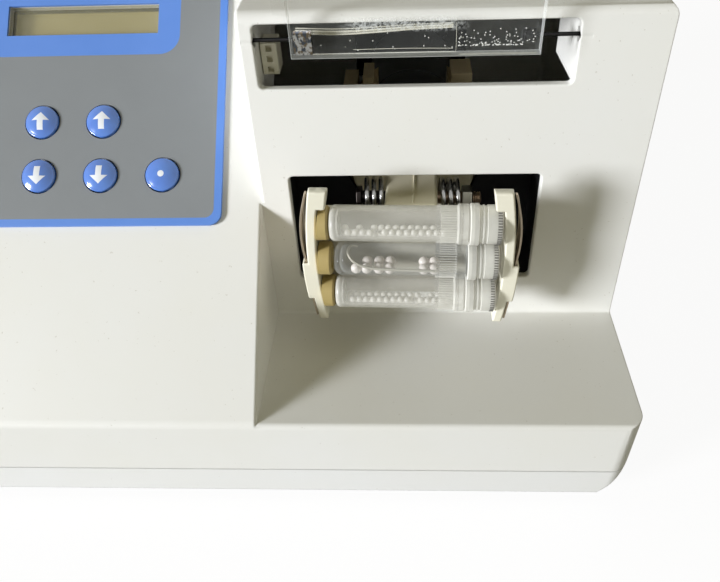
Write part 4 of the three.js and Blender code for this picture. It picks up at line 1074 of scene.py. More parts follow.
def inlet_pins():
    """Three flat pins, the middle one higher."""
    width, height = 2, 4
    return gathered("pins", [
        softened(back_block(inlet_x + x, width, height, (-20, -overrun), back_rise + rise), 0.5)
        for x, rise in pin_places])


def switch_piece():
    """The switch's frame, open for the rocker."""
    width, height = rocker_width + 2 * fit_gap, 2 * (rocker_half + fit_gap)
    room = back_block(switch_x, width, height, (-8, outer_y + overrun))
    return cut(flanged_block(switch_x, switch_size, lip=1.6, depth=16, radius=0.4), room)


def rocker_piece():
    """A rocker whose upper half stands out by its tilt, with a back that clears the frame."""
    inward = rocker_half - rocker_depth * math.sin(rocker_tilt)
    outline = filleted([
        (outer_y, -rocker_half, 0.4), (outer_y, 0), (outer_y + rocker_rise, rocker_half, 0.4),
        (-rocker_depth / 2, inward), (-rocker_depth, 0), (-rocker_depth / 2, -inward)], 4)
    place = back_frame @ Matrix.Translation((0, 0, back_rise))
    return prism("rocker", "x", outline, *about(switch_x, rocker_width), place)


def rocker_marks():
    """A bar on the upper half and a ring on the lower, set just proud of the rocker's face."""
    lift, depth, length, width = 0.12, 0.3, 3.2, 0.6
    middle = back_frame @ Matrix.Translation((switch_x, outer_y, back_rise))
    lower = middle @ Matrix.Translation((0, 0, -rocker_half / 2))
    upper = middle @ Matrix.Rotation(-rocker_tilt, 4, "X")
    ring = cut(rod("ring", "y", 1.7, -depth, lift, lower, sides=40),
               rod("bore", "y", 1.15, -overrun, overrun, lower, sides=40))
    bar = box("bar", about(0, width), (-depth, lift), about(rocker_half / 2, length), upper)
    return gathered("marks", [ring, bar])


def fuse_piece():
    """A fuse holder with a stepped cap and a slot for a coin."""
    depth, rim, end = 30, fuse_radius + 1.5, fit_gap + 3
    profile = [(0, -depth), (fuse_radius, -depth), (fuse_radius, fit_gap), (rim, fit_gap), (rim, 1.4),
               (rim - 0.4, 1.8), (6.6, 1.9), (6.4, end - 0.5), (5.9, end), (0, end)]
    place = back_frame @ Matrix.Translation((fuse_x, 0, back_rise))
    slot = box("slot", about(0, 8), (end - 1, end + overrun), about(0, 1.3), place)
    return cut(turned("fuse", "y", profile, place, 48), slot)


piece(inlet_piece(), "mains_inlet", "casing", black_finish, ["power_inlet"])
piece(inlet_pins(), "mains_pins", "casing", pin_finish)
piece(switch_piece(), "switch_bezel", "casing", black_finish, ["switch_frame"])
piece(rocker_piece(), "rocker_key", "rocker", black_finish, ["switch_rocker"])
piece(rocker_marks(), "rocker_marks", "rocker", sign_finish)
piece(fuse_piece(), "fuse_cap", "casing", black_finish, ["fuse_holder"])


# Drive behind the openings, back along Y from the front of the arm's disc
disc_radius = 20.5
disc_thickness = 12
disc_web = 3
bearing_radius = 13
bearing_start, bearing_end = 4, 10
shaft_bore = 3.3
motor_radius, motor_start, motor_face, motor_end = 17, 19, 21, 83
bracket_radius = 24
bracket_y = (23, 35)
arm_width, arm_height = 16, 11
bolt_forward = 15.5
bolt_radius = 2
cap_flange_radius = 6.1
bridge_front = -(hub_setback + tube_stand_off) + cap_flange_radius + fit_gap
bridge_back = bridge_front + 2.8
bolt_frame = arm_frame @ Matrix.Translation((0, -bolt_forward, 0))


def liner_piece():
    """A black box behind the lower opening, with a round hole for the arm's disc."""
    front = -(wall + fit_gap)
    depth, thickness, room = 30, 1.6, 3

    def around(gap, z):
        outline = rectangle(about(0, upper_width - 2 * lower_inset + 2 * gap),
                            about(lower_middle, lower_height + 2 * gap), 2.5)
        return prism("liner", "z", outline, *z, face_frame)

    shell = cut(around(room + thickness, (front - depth, front)),
                around(room, (front - depth + thickness, front + overrun)))
    return cut(shell, rod("hub_hole", "y", disc_radius + 3.2, -hub_setback, 30, drive_frame, sides=64))


def arm_piece():
    """The arm: a round disc that cups the bearing, a bar to the front with a rib on top, and a bolt hole."""
    edge, lip = 0.9, 0.4
    room = bearing_radius + fit_gap
    cup = [(0, 0), (disc_radius - edge, 0), (disc_radius - 0.3 * edge, 0.3 * edge), (disc_radius, edge),
           (disc_radius, disc_thickness - lip), (disc_radius - lip, disc_thickness),
           (room + lip, disc_thickness), (room, disc_thickness - lip), (room, disc_web), (0, disc_web)]
    disc = turned("cup", "y", cup, arm_frame, 96)
    front, top = bridge_back + fit_gap, arm_height / 2
    bar = softened(box("bar", about(0, arm_width), (front, 1.5), about(0, arm_height), arm_frame), 1.0)
    rib = softened(box("rib", about(0.7, 0.5), (front + 1, 0.5), (top - 1, top + 0.35), arm_frame), 0.3)
    hole = rod("hole", "x", bolt_radius + fit_gap, -arm_width, arm_width, bolt_frame)
    return cut(joined(disc, bar, rib), hole)


def bracket_piece():
    """The motor's cradle: a foot, a ring whose crown is left out, and three uprights in its place."""
    floor = foot_height + wall + fit_gap - drive_z
    past = (bracket_y[0] - overrun, bracket_y[1] + overrun)
    uprights = [((-23.7, -19), 20), ((-17, -13.4), 22.4), ((13, 20), 23.2)]
    post = box("post", (-bracket_radius, bracket_radius), bracket_y, (floor, 0), drive_frame)
    ring = rod("ring", "y", bracket_radius, *bracket_y, drive_frame, sides=96)
    foot = softened(box("foot", (-33, 33), (13, 45), (floor, floor + 4), drive_frame), 0.8)
    bracket = joined(post, ring, foot)
    cut(bracket, box("crown", (-12, 12), past, (4, 26), drive_frame))
    joined(bracket, *[box("upright", x, bracket_y, (0, top), drive_frame) for x, top in uprights])
    cut(bracket, rod("bore", "y", motor_radius + fit_gap, *past, drive_frame, sides=96))
    return softened(bracket, 0.5, 2)


def motor_piece():
    """The motor's can, with a boss at its front and a seam round it."""
    boss, seam, radius = 7, 40, motor_radius
    profile = [(shaft_bore, motor_start), (boss, motor_start), (boss, motor_face), (radius - 1, motor_face),
               (radius, motor_face + 1), (radius, seam), (radius - 0.3, seam + 0.4), (radius, seam + 0.8),
               (radius, motor_end - 1), (radius - 1, motor_end), (shaft_bore, motor_end)]
    return turned("motor", "y", profile, drive_frame, 96)


def hub_piece():
    """A sleeve that stands slanted in the bearing, its neck, and a half disc as counterweight."""
    hub_slant, sleeve_radius, weight_radius = math.radians(3), 8.6, 15
    slanted = (drive_frame @ Matrix.Translation((0, bearing_middle, 0)) @ Matrix.Rotation(hub_slant, 4, "X")
               @ Matrix.Translation((0, -bearing_middle, 0)))
    edge, low, high = 0.4, bearing_start, bearing_end + 1
    sleeve = turned("sleeve", "y", [(0, low), (sleeve_radius - edge, low), (sleeve_radius, low + edge),
                                    (sleeve_radius, high), (0, high)], slanted)
    neck = rod("neck", "y", 6, 7, 16.25, drive_frame, sides=64)
    weight = rod("weight", "y", weight_radius, 14.5, 18, drive_frame, sides=96)
    lower_half = box("half", about(0, 2 * (weight_radius + overrun)), (0, 22), (-weight_radius - overrun, 0),
                     drive_frame)
    softened(kept(weight, lower_half), 0.5)
    return cut(joined(sleeve, neck, weight), rod("bore", "y", shaft_bore, 0, 22, drive_frame))


def bearing_piece():
    """Two races with the shield between them."""
    def ring(front_half):
        """A ring that is the same to both sides, from the front half of its profile."""
        back_half = [(radius, bearing_start + bearing_end - y) for radius, y in reversed(front_half)]
        return turned("ring", "y", front_half + back_half, arm_frame, 96)

    low = bearing_start
    outer = ring([(bearing_radius, low + 0.4), (bearing_radius - 0.4, low), (11.9, low), (11.8, low + 0.5)])
    inner = ring([(10.6, low + 0.3), (10.3, low), (9.6, low), (9.3, low + 0.3)])
    shield = ring([(11.9, low + 0.6), (10.5, low + 0.6)])
    return joined(outer, shield, inner)


def fan_piece():
    """A fan on the shaft behind the motor."""
    start, end, blade_count = motor_end + 1, motor_end + 10, 7
    hub_radius, blade_reach, blade_thickness, edge = 6, (5.4, 19), 1.4, 0.4
    blades = []
    for index in range(blade_count):
        place = drive_frame @ Matrix.Rotation(2 * math.pi * index / blade_count, 4, "Y")
        blade = box("blade", about(0, blade_thickness), (start, end), blade_reach, place)
        blades.append(softened(blade, edge, 2))
    profile = [(shaft_bore, start), (hub_radius - edge, start), (hub_radius, start + edge),
               (hub_radius, end - edge), (hub_radius - edge, end), (shaft_bore, end)]
    return joined(turned("hub", "y", profile, drive_frame), *blades)


piece(liner_piece(), "chamber_wall", "casing", liner_finish, ["chamber_liner"])
piece(arm_piece(), "rocking_arm", "arm", arm_finish, ["shaker_arm"])
piece(bracket_piece(), "motor_cradle", "casing", beige_finish, ["motor_bracket"])
piece(motor_piece(), "motor_body", "casing", motor_finish, ["motor_can"])
piece(hub_piece(), "slanted_hub", "rotor", steel_finish, ["wobble_hub"])
piece(bearing_piece(), "ball_race", "arm", steel_finish, ["hub_bearing"])
piece(fan_piece(), "fan_wheel", "rotor", black_finish, ["motor_fan"])
dress("motor_shaft", steel_finish)


# Springs, bolt and nut
spring_radius, spring_wire, spring_pitch, spring_curls = 5.8, 0.75, 2.25, 2.5
coil_start = arm_width / 2 + spring_wire + fit_gap
coil_end = coil_start + spring_curls * spring_pitch + spring_wire + fit_gap
nut_height = 3.2


def facing_out(side):
    """Turns what points right to the left for side -1."""
    return Matrix.Rotation(0 if side > 0 else math.pi, 4, "Z")


def spring_piece(side):
    """One wire wound round the bolt, its ends run straight off the last curl."""
    steps_per_curl = 32
    turns = [2 * math.pi * i / steps_per_curl for i in range(int(spring_curls * steps_per_curl) + 1)]
    leg = 2 * spring_wire
    path = [Vector((turn / (2 * math.pi) * spring_pitch, spring_radius * math.cos(turn),
                    spring_radius * math.sin(turn))) for turn in turns]
    path.insert(0, path[0] + Vector((0, 0, -leg)))
    path.append(path[-1] + Vector((0, -math.sin(turns[-1]), math.cos(turns[-1]))) * leg)
    place = bolt_frame @ facing_out(side) @ Matrix.Translation((coil_start, 0, 0))
    return tube_along("spring", path, spring_wire, 14, place, lambda point: Vector((0, point.y, point.z)))


def bolt_piece():
    """Hexagon head, and a shank whose far end carries turned threads."""
    thread_start, pitch, depth = coil_end - 2, 0.7, 0.28
    head_radius, head_height = 3.6, 1.8
    foot, tip = -coil_end - 1, coil_end + nut_height + fit_gap + 2.6
    profile = [(0, foot), (bolt_radius, foot), (bolt_radius, thread_start)]
    place = thread_start
    while place < tip - pitch:
        profile += [(bolt_radius - depth, place + pitch / 2), (bolt_radius, place + pitch)]
        place += pitch
    profile += [(bolt_radius - 0.5, tip), (0, tip)]
    shank = turned("shank", "x", profile, bolt_frame, 40)
    head = prism("head", "x", circle(head_radius, 6), -coil_end - head_height, -coil_end, bolt_frame)
    return joined(shank, softened(head, 0.35, 3))


def nut_piece():
    nut = softened(prism("nut", "x", circle(4, 6), coil_end, coil_end + nut_height, bolt_frame), 0.4, 3)
    return cut(nut, rod("bore", "x", bolt_radius + fit_gap, 0, 2 * coil_end, bolt_frame))


for side, word in ((-1, "left"), (1, "right")):
    piece(spring_piece(side), f"coil_{word}", "arm", spring_finish, [f"spring_{word}"], 60)
piece(bolt_piece(), "arm_bolt", "arm", bolt_finish, ["cross_bolt"])
piece(nut_piece(), "arm_nut", "arm", nut_finish, ["cross_bolt_nut"])


# Repeated small shapes, each made by a tree of geometry nodes
class Repeat(Nodes):
    """A geometry nodes tree with named inputs that ends in real, coloured meshes."""

    def __init__(self, name):
        super().__init__(bpy.data.node_groups.new(name, "GeometryNodeTree"))
        self.tree.interface.new_socket("Geometry", in_out="INPUT", socket_type="NodeSocketGeometry")
        self.tree.interface.new_socket("Geometry", in_out="OUTPUT", socket_type="NodeSocketGeometry")
        self.entry = self.node("NodeGroupInput")
        self.exit = self.node("NodeGroupOutput")

    def size(self, name, kind="NodeSocketFloat"):
        """A named input of the tree, as the socket that carries it."""
        self.tree.interface.new_socket(name, in_out="INPUT", socket_type=kind)
        return self.entry.outputs[name]

    def shape(self, kind, **values):
        """A node that makes or changes a mesh, as the socket that carries the mesh."""
        return self.node(f"GeometryNode{kind}", values=values).outputs[0]

    def at_points(self, instance, points=None):
        """The instance at each point of a mesh, which is the modifier's own where none is named."""
        points = points or self.entry.outputs["Geometry"]
        return self.shape("InstanceOnPoints", Points=points, Instance=instance)

    def finish(self, instances, material):
        real = self.shape("RealizeInstances", Geometry=instances)
        coloured = self.shape("SetMaterial", Geometry=real, Material=material)
        self.connect(coloured, self.exit.inputs[0])
        return self.tree


def in_metres(place):
    """The same placing for a mesh that is in metres already."""
    return Matrix.Scale(MM, 4) @ place @ Matrix.Scale(1 / MM, 4)


def grown(name, tree, sizes, points):
    """Runs a tree on a mesh of points and returns the mesh that it makes."""
    thing = added(name, mesh_from(name, [Vector(point) * MM for point in points]))
    modifier = thing.modifiers.new(name, "NODES")
    modifier.node_group = tree
    sockets = {item.name: item.identifier for item in tree.interface.items_tree if item.in_out == "INPUT"}
    for size, value in sizes.items():
        modifier[sockets[size]] = value
    return baked(thing)


def bead_tree(material):
    """A ball at each point."""
    repeat = Repeat("beads")
    ball = repeat.shape("MeshIcoSphere", Radius=repeat.size("Radius"), Subdivisions=3)
    smooth = repeat.shape("SetShadeSmooth", Geometry=ball)
    return repeat.finish(repeat.at_points(smooth), material)


def ridge_tree(material):
    """Ridges along X, side by side round a circle, each a slim round bar."""
    repeat = Repeat("ridges")
    count = repeat.size("Count", "NodeSocketInt")
    radius, length, width = [repeat.size(name) for name in ("Radius", "Length", "Width")]
    bar = repeat.shape("MeshCylinder", Vertices=8, Radius=width, Depth=length)
    ring = repeat.shape("MeshCircle", Vertices=count, Radius=radius)
    bars = repeat.shape("RealizeInstances", Geometry=repeat.at_points(bar, ring))
    lying = repeat.shape("Transform", Geometry=bars, Rotation=(0, math.pi / 2, 0))
    return repeat.finish(repeat.at_points(lying), material)


def ridge_ring(name, tree, spot, start, length, count, ring_radius, ridge_radius):
    """A ring of ridges round a tube's axis, from a place along it."""
    sizes = {"Count": count, "Radius": ring_radius * MM, "Length": length * MM, "Width": ridge_radius * MM}
    ring = grown(name, tree, sizes, [(start + length / 2, 0, 0)])
    ring.data.transform(in_metres(spot))
    return ring


# Tube holder
tube_radius, tube_wall, tube_length, tube_pitch = 5.3, 0.6, 49.5, 13.3
rows = (tube_pitch, 0, -tube_pitch)
plate_span, plate_thickness, plate_depth, plate_rim = 61.6, 3, 6, 2.6
plate_high, plate_low = tube_pitch + 12.5, -(tube_pitch + 10)
plate_bow, bow_centre = 2.4, -0.8
plate_lip, plate_lip_height = 2.4, 6.2
strip_thickness, strip_end_gap, strip_bulge = 0.6, 0.8, 1
strip_y = (-2, 4.8)
cover_high, cover_height, cover_thickness = -0.3, 14.2, 0.5
plug_radius = 5.1


def plate_reach(z):
    """How far a plate's outer face stands from the holder's middle at a height."""
    return plate_span / 2 - plate_bow * ((z - bow_centre) / (plate_high - bow_centre)) ** 2


tube_left = plate_reach(tube_pitch + plug_radius) - plate_thickness - fit_gap - tube_length


def bowed(name, inner, outer, low, high, y, side, steps=28, bulge=lambda z: 0):
    """A band along the bow of the plates between two offsets, mirrored to the left for side -1."""
    heights = [low + (high - low) * i / steps for i in range(steps + 1)]
    outline = [(side * (plate_reach(z) + bulge(z) + outer), z) for z in heights]
    outline += [(side * (plate_reach(z) + bulge(z) + inner), z) for z in reversed(heights)]
    return prism(name, "y", outline, *y, holder_frame)


def sloped_top(side, start, top):
    """What is cut off above a slope that falls to the back from a place at the top."""
    back = 8
    outline = [(start, top), (back, top - back + start), (back, top + overrun), (start, top + overrun)]
    x = sorted((0, side * (plate_span / 2 + 4)))
    return prism("slope", "x", outline, *x, holder_frame)


def plate_piece(side):
    """A bowed plate with a thicker top, and a cover under which the strip is held."""
    slot = strip_thickness + 2 * fit_gap
    cover_low = cover_high - cover_height
    y = about(0, plate_depth)
    slit_y = (strip_y[0] - fit_gap, y[1] + overrun)
    plate = softened(bowed("plate", -plate_thickness, 0, plate_low, plate_high, y, side), 0.6, 3, 50)
    top = bowed("lip", -plate_thickness - plate_lip, 0, plate_high - plate_lip_height, plate_high, y, side, 6)
    cover = bowed("cover", -plate_thickness / 2, slot + cover_thickness, cover_low, cover_high, y, side, 10)
    whole = joined(plate, softened(top, 0.6, 3, 50), softened(cover, 0.5, 3, 50))
    slit = bowed("slit", 0, slot, cover_low - overrun, cover_high + overrun, slit_y, side, 12)
    return cut(whole, slit, sloped_top(side, y[0] + plate_rim, plate_high))


def strip_piece(side):
    """The steel strip on a plate's outer face, which bulges out above its cover."""
    top = plate_high - strip_end_gap
    strip = bowed("strip", fit_gap, fit_gap + strip_thickness, plate_low + strip_end_gap, top, strip_y, side,
                  steps=48, bulge=lambda z: strip_bulge * math.sin(math.pi * max(0, z / top)))
    return softened(cut(strip, sloped_top(side, strip_y[0] + 1, top)), 0.15, 2, 50)


def plug_piece(z):
    """A tan plug between the left plate and a tube's closed end, hollowed where the end rests."""
    outer, end = -plate_span / 2, tube_left - fit_gap
    edge, rest = 0.5, 3.4
    profile = [(0, outer), (plug_radius, outer), (plug_radius, end - edge), (plug_radius - edge, end),
               (rest, end), (rest - 0.3, end - edge), (0, end - edge)]
    plug = turned("plug", "x", profile, holder_frame @ Matrix.Translation((0, 0, z)))
    room = bowed("room", -plate_thickness - fit_gap, plate_bow + overrun, plate_low, plate_high,
                 (-tube_radius, tube_radius), -1)
    return cut(plug, room)


def bridge_piece():
    """The wall behind the tubes, with an ear behind each plate."""
    y = (bridge_front + hub_setback + tube_stand_off, bridge_back + hub_setback + tube_stand_off)
    z = (-(tube_pitch + 6), tube_drop + arm_height / 2)
    ear_y = (plate_depth / 2 + fit_gap, y[1])
    bridge = box("bridge", about(0, plate_span - plate_thickness), y, z, holder_frame)
    ears = [bowed("ear", -plate_thickness, 0, *z, ear_y, side) for side in (-1, 1)]
    return softened(joined(bridge, *ears), 0.5, 3, 50)


piece(bridge_piece(), "holder_back", "arm", bridge_finish, ["holder_bridge"])
for side, word in ((-1, "left"), (1, "right")):
    piece(plate_piece(side), f"bowed_plate_{word}", f"plate_{word}", cream_finish,
          [f"holder_plate_{word}"], 50)
    piece(strip_piece(side), f"spring_strip_{word}", f"plate_{word}", strip_finish,
          [f"clip_strip_{word}"], 50)
for number, z in enumerate(rows, 1):
    piece(plug_piece(z), f"end_plug_{number}", "plate_left", tan_finish, [f"tube_plug_{number}"])


# Tubes, their caps and beads, along X from the closed end at the left
middle_tube = 2
bore_radius = tube_radius - tube_wall
collar_place, collar_end, collar_radius = 37, 40, 5.9
thread_radius, tube_mouth, tube_floor = 4.9, 45.3, 2
cap_radius, cap_flange_width, cap_top, cap_start = 5.7, 2.8, 1.6, 40.3
cap_rings, cap_ring_pitch = 2, 1.3
ribs = {"start": 30.9, "length": 6.1, "count": 44, "ring_radius": tube_radius, "ridge_radius": 0.16}
knurls = {"start": 48.0, "length": 1.2, "count": 45, "ring_radius": cap_radius, "ridge_radius": 0.2}
small_bead, large_bead = 1.06, 1.68
bed_start, bed_end, bed_level = 3.2, 36.6, -1
large_bead_pairs = (10.15, 13.9, 17.2, 27.5, 30.6)
lone_bead = 7.0
fibre_radius = 0.42
fibre_route = [(7.2, 3.0, 2.2), (5.6, 2.6, 2.9), (4.6, 1.2, 2.6), (4.9, -1.2, 2.0), (6.6, -2.8, 0.8),
               (9.7, -3.3, -0.6), (14, -3.4, -1.3), (22, -3.35, -1.7), (30.8, -3.3, -1.9)]


def tube_frame(z):
    return holder_frame @ Matrix.Translation((tube_left, 0, z))


def round_end(radius, place, middle, steps=8):
    """(radius, place) pairs round the edge of a closed end, from its floor out to its wall."""
    turns = [math.pi / 2 * i / steps for i in range(steps + 1)]
    return [(middle + radius * math.sin(turn), place - radius * math.cos(turn)) for turn in turns]


def tube_piece(z, wide_rounding):
    """A screw-cap tube with its bore, collar and neck; the middle one has the rounder end."""
    outside, inside = (3.4, 2.6) if wide_rounding else (1.6, 1.0)
    edge, lip = 0.2, 0.3
    neck = min(bore_radius, thread_radius - tube_wall)
    profile = [(0, 0)] + round_end(outside, outside, tube_radius - outside)
    profile += [
        (tube_radius, collar_place - 2 * edge), (collar_radius - edge, collar_place),
        (collar_radius, collar_place + edge), (collar_radius, collar_end - edge),
        (collar_radius - edge, collar_end), (thread_radius, collar_end),
        (thread_radius, tube_mouth - lip), (thread_radius - lip, tube_mouth),
        (neck, tube_mouth), (neck, collar_end), (bore_radius, collar_place),
    ]
    profile += reversed(round_end(inside, tube_floor + inside, bore_radius - inside))
    profile.append((0, tube_floor))
    return turned("tube", "x", profile, tube_frame(z), 96)


def cap_piece(z):
    """A screw cap: flange, a waist with fine rings, and a rounded top."""
    bore, top, edge = thread_radius + fit_gap, tube_length, 0.3
    waist = cap_radius - 0.25
    flange, flange_end = cap_flange_radius, cap_start + cap_flange_width
    profile = [(0, top - cap_top), (bore, top - cap_top), (bore, cap_start), (flange - edge, cap_start),
               (flange, cap_start + edge), (flange, flange_end - edge), (flange - edge, flange_end)]
    for ring in range(cap_rings):
        place = flange_end + ring * cap_ring_pitch
        profile += [(waist, place + 0.15), (waist, place + 0.75), (cap_radius, place + 0.95),
                    (cap_radius, place + cap_ring_pitch)]
    profile += [(cap_radius, top - 0.6), (cap_radius - 0.25, top - 0.15), (cap_radius - 0.6, top), (0, top)]
    return turned("cap", "x", profile, tube_frame(z), 96)


def settled_beads(radius, first, last, level, seed):
    """Places of balls of one size poured into a lying tube: rows across, hexagonal layers, a little loose."""
    chance = random.Random(seed)
    pitch, layer_rise = 2.02 * radius, 1.72 * radius
    shake, gap_share = 0.04 * radius, 0.12
    places = []
    layer, height = 0, radius - bore_radius
    while height <= level:
        half = math.sqrt(max(0, (bore_radius - radius) ** 2 - height ** 2))
        count = int(2 * half / pitch) + 1
        for column in range(count):
            y = (column - (count - 1) / 2) * pitch
            if layer and y > radius:
                continue
            x = first + radius + (0 if (layer + column) % 2 == 0 else radius)
            while x < last - radius:
                if height < level - 1.2 * radius or chance.random() > gap_share:
                    jitter = Vector([chance.uniform(-shake, shake) for _ in range(3)])
                    places.append(Vector((x, y, height)) + jitter)
                x += pitch
        layer += 1
        height += layer_rise
    return places


def paired_beads():
    """Places of the large balls, two by two on the floor of the middle tube, with one before them."""
    height = -math.sqrt((bore_radius - large_bead) ** 2 - large_bead ** 2)
    places = [(lone_bead, -1)] + [(x, row) for x in large_bead_pairs for row in (-1, 1)]
    return [Vector((x, row * large_bead * 1.01, height)) for x, row in places]


def fibre_piece():
    """A soft thread of sample that lies along the beads of the middle tube."""
    return tube_along("fibre", smooth_path(fibre_route, 6), fibre_radius, 10, tube_frame(0))


def filled_tube(number, z, wall, bead_radius, bead, places):
    """A tube with its ribs, its beads at their places in the tube, and its cap with the knurls."""
    spot, sample, cap = tube_frame(z), f"sample_{number}", f"cap_{number}"
    tube = tube_piece(z, number == middle_tube)
    rib_ring = ridge_ring("ribs", rib_tree, spot, **ribs)
    knurl_ring = ridge_ring("knurls", knurl_tree, spot, **knurls)
    beads = grown("beads", bead_tree(bead.material), {"Radius": bead_radius * MM},
                  [spot @ place for place in places])
    piece(tube, f"microtube_{number}", sample, wall, [f"tube_{number}"])
    piece(rib_ring, f"tube_ribs_{number}", sample, frosted_finish)
    piece(beads, f"beads_{number}", sample, bead, [f"bead_bed_{number}"], 60)
    piece(cap_piece(z), f"screw_cap_{number}", cap, cap_finish, [f"tube_cap_{number}"])
    piece(knurl_ring, f"cap_knurl_{number}", cap, knurl_shade_finish)


frosted_finish = frosted_wall("frosted_tube", 0.17)
cap_finish = frosted_wall("frosted_cap", 0.38)
rib_tree = ridge_tree(frosted_finish.material)
knurl_tree = ridge_tree(knurl_shade_finish.material)
for number, z in enumerate(rows, 1):
    if number == middle_tube:
        filled_tube(number, z, tube_clear_finish, large_bead, large_bead_finish, paired_beads())
    else:
        bed = settled_beads(small_bead, bed_start, bed_end, bed_level, 20 + number)
        filled_tube(number, z, frosted_finish, small_bead, bead_finish, bed)
piece(fibre_piece(), "sample_fibre", "sample_2", thread_finish)


# Lid, about its hinge axis
lid_width = 64.6
rod_radius, rod_share = 4.4, 0.67
sheet_thickness, lid_heel, lid_rise = 3, 2.2, 48
lid_reach = hinge_place.y - node_box("lid_hood")[0].y
sheet_back = -(rod_radius + fit_gap)
sheet_front = sheet_back - sheet_thickness
lid_x = about(0, lid_width)
rod_end = lid_x[0] + lid_width * rod_share
pin_hole_depth = 4
magnet_x = (lid_x[0] + 1, lid_x[0] + 5.8)
magnet_z = (-lid_heel + 1, -lid_heel + 7)
magnet_y = (sheet_front, sheet_front + 1.6)
bubble_radius = 0.17


def hood_piece():
    """The lid's back sheet and roof in one bend, a wall at each side, and a pocket for the magnet."""
    roof_low = lid_rise - sheet_thickness
    outline = filleted([
        (sheet_back, -lid_heel), (sheet_back, lid_rise, 0.8), (-lid_reach, lid_rise), (-lid_reach, roof_low),
        (sheet_front, roof_low, 1.2), (sheet_front, -lid_heel)], 5)
    side_view = [(sheet_back - 1, 9), (sheet_front, 9), (sheet_front - 18, 16), (sheet_front - 18, 26),
                 (-lid_reach, roof_low), (-lid_reach, lid_rise - 0.5), (sheet_back - 1, lid_rise - 0.5)]
    hood = prism("hood", "x", outline, *lid_x, lid_frame)
    walls = [prism("wall", "x", side_view, x, x + sheet_thickness, lid_frame)
             for x in (lid_x[0], lid_x[1] - sheet_thickness)]
    pocket = box("pocket", (magnet_x[0] - fit_gap, magnet_x[1] + fit_gap),
                 (sheet_front - overrun, magnet_y[1] + fit_gap),
                 (magnet_z[0] - fit_gap, magnet_z[1] + fit_gap), lid_frame)
    return softened(cut(joined(hood, *walls), pocket), 0.35, 2)


def bar_piece():
    """The hinge bar: round for most of its length, a rounded block at its right end, and pin holes."""
    left, right = lid_x
    edge, block_side, block_radius = 0.4, about(0, 7.4), 1.6
    profile = [(0, left), (rod_radius - edge, left), (rod_radius, left + edge), (rod_radius, rod_end),
               (0, rod_end)]
    round_part = turned("rod", "x", profile, lid_frame, 96)
    block_outline = rectangle(block_side, block_side, block_radius)
    block = softened(prism("block", "x", block_outline, rod_end - overrun, right, lid_frame), 0.3, 2)
    hole_ends = ((left - overrun, left + pin_hole_depth), (right - pin_hole_depth, right + overrun))
    holes = [rod("hole", "x", pin_radius + fit_gap, *ends, lid_frame) for ends in hole_ends]
    return cut(joined(round_part, block), *holes)


def pin_piece(side):
    """A hinge pin that is slim between the bar and the cheek."""
    edge, slim_radius, taper = 0.3, 0.55, 0.4
    inner, outer = lid_width / 2 - pin_hole_depth + fit_gap, upper_width / 2 + cheek_wall
    slim_start, slim_end = lid_width / 2 - 0.5, upper_width / 2 + 0.7
    profile = [(0, inner), (pin_radius - edge, inner), (pin_radius, inner + edge), (pin_radius, slim_start),
               (slim_radius, slim_start + taper), (slim_radius, slim_end - taper), (pin_radius, slim_end),
               (pin_radius, outer - edge), (pin_radius - edge, outer), (0, outer)]
    return turned("pin", "x", profile, lid_frame @ facing_out(side), 32)


def magnet_piece():
    return softened(box("magnet", magnet_x, magnet_y, magnet_z, lid_frame), 0.25, 2)


def sensor_piece():
    """A small block beside the hinge with three sockets in its front."""
    left, front, top = -upper_width / 2 + fit_gap, 4, -2.6
    width, depth, height = 4.6, 7, 9
    socket_count, socket_width, socket_depth = 3, 1.7, 2
    body = box("sensor", (left, left + width), (front, front + depth), (top - height, top), lid_frame)
    socket_x, socket_y = about(left + width / 2, socket_width), (front - overrun, front + socket_depth)
    sockets = []
    for i in range(socket_count):
        socket_z = about(top - (i + 0.5) * height / socket_count, socket_width)
        sockets.append(box("socket", socket_x, socket_y, socket_z, lid_frame))
    return cut(softened(body, 0.3, 2), *sockets)


def bar_streaks():
    """Light caught along the bar: one broad streak over its top, thin ones along its foot and at its ends."""
    left, right = lid_x
    streak_reach, block_front, block_low, block_high = 4.1, -3.8, -3.3, 3.4

    def on_bar(x, degrees):
        turn = math.radians(degrees)
        return Vector((x, -streak_reach * math.cos(turn), streak_reach * math.sin(turn)))

    def along_bar(*places):
        return smooth_path([on_bar(x, degrees) for x, degrees in places], 8)

    def along_top(rise):
        return along_bar((left + 1, 44 + rise), (left + 14, 37 + rise), (rod_end - 12, 50 + rise),
                         (rod_end - 1, 56 + rise))

    def on_block(x, z):
        return Vector((x, block_front, z))

    runs = [
        (along_top(0), 0.24),
        (along_top(9), 0.3),
        (along_top(20), 0.14),
        (along_bar((left + 16, -22), (rod_end - 14, -20), (rod_end - 1, -24)), 0.07),
        (along_bar((left + 0.5, -48), (0, -46), (rod_end - 0.5, -48)), 0.16),
        ([on_bar(rod_end - 0.2, degrees) for degrees in range(-60, 91, 10)], 0.05),
        ([on_block(rod_end + 0.6, block_low), on_block(right - 0.3, block_low)], 0.14),
        ([on_block(right - 0.2, block_low), on_block(right - 0.2, block_high)], 0.18),
    ]
    return gathered("streaks", [tube_along("streak", path, radius, 8, lid_frame) for path, radius in runs])


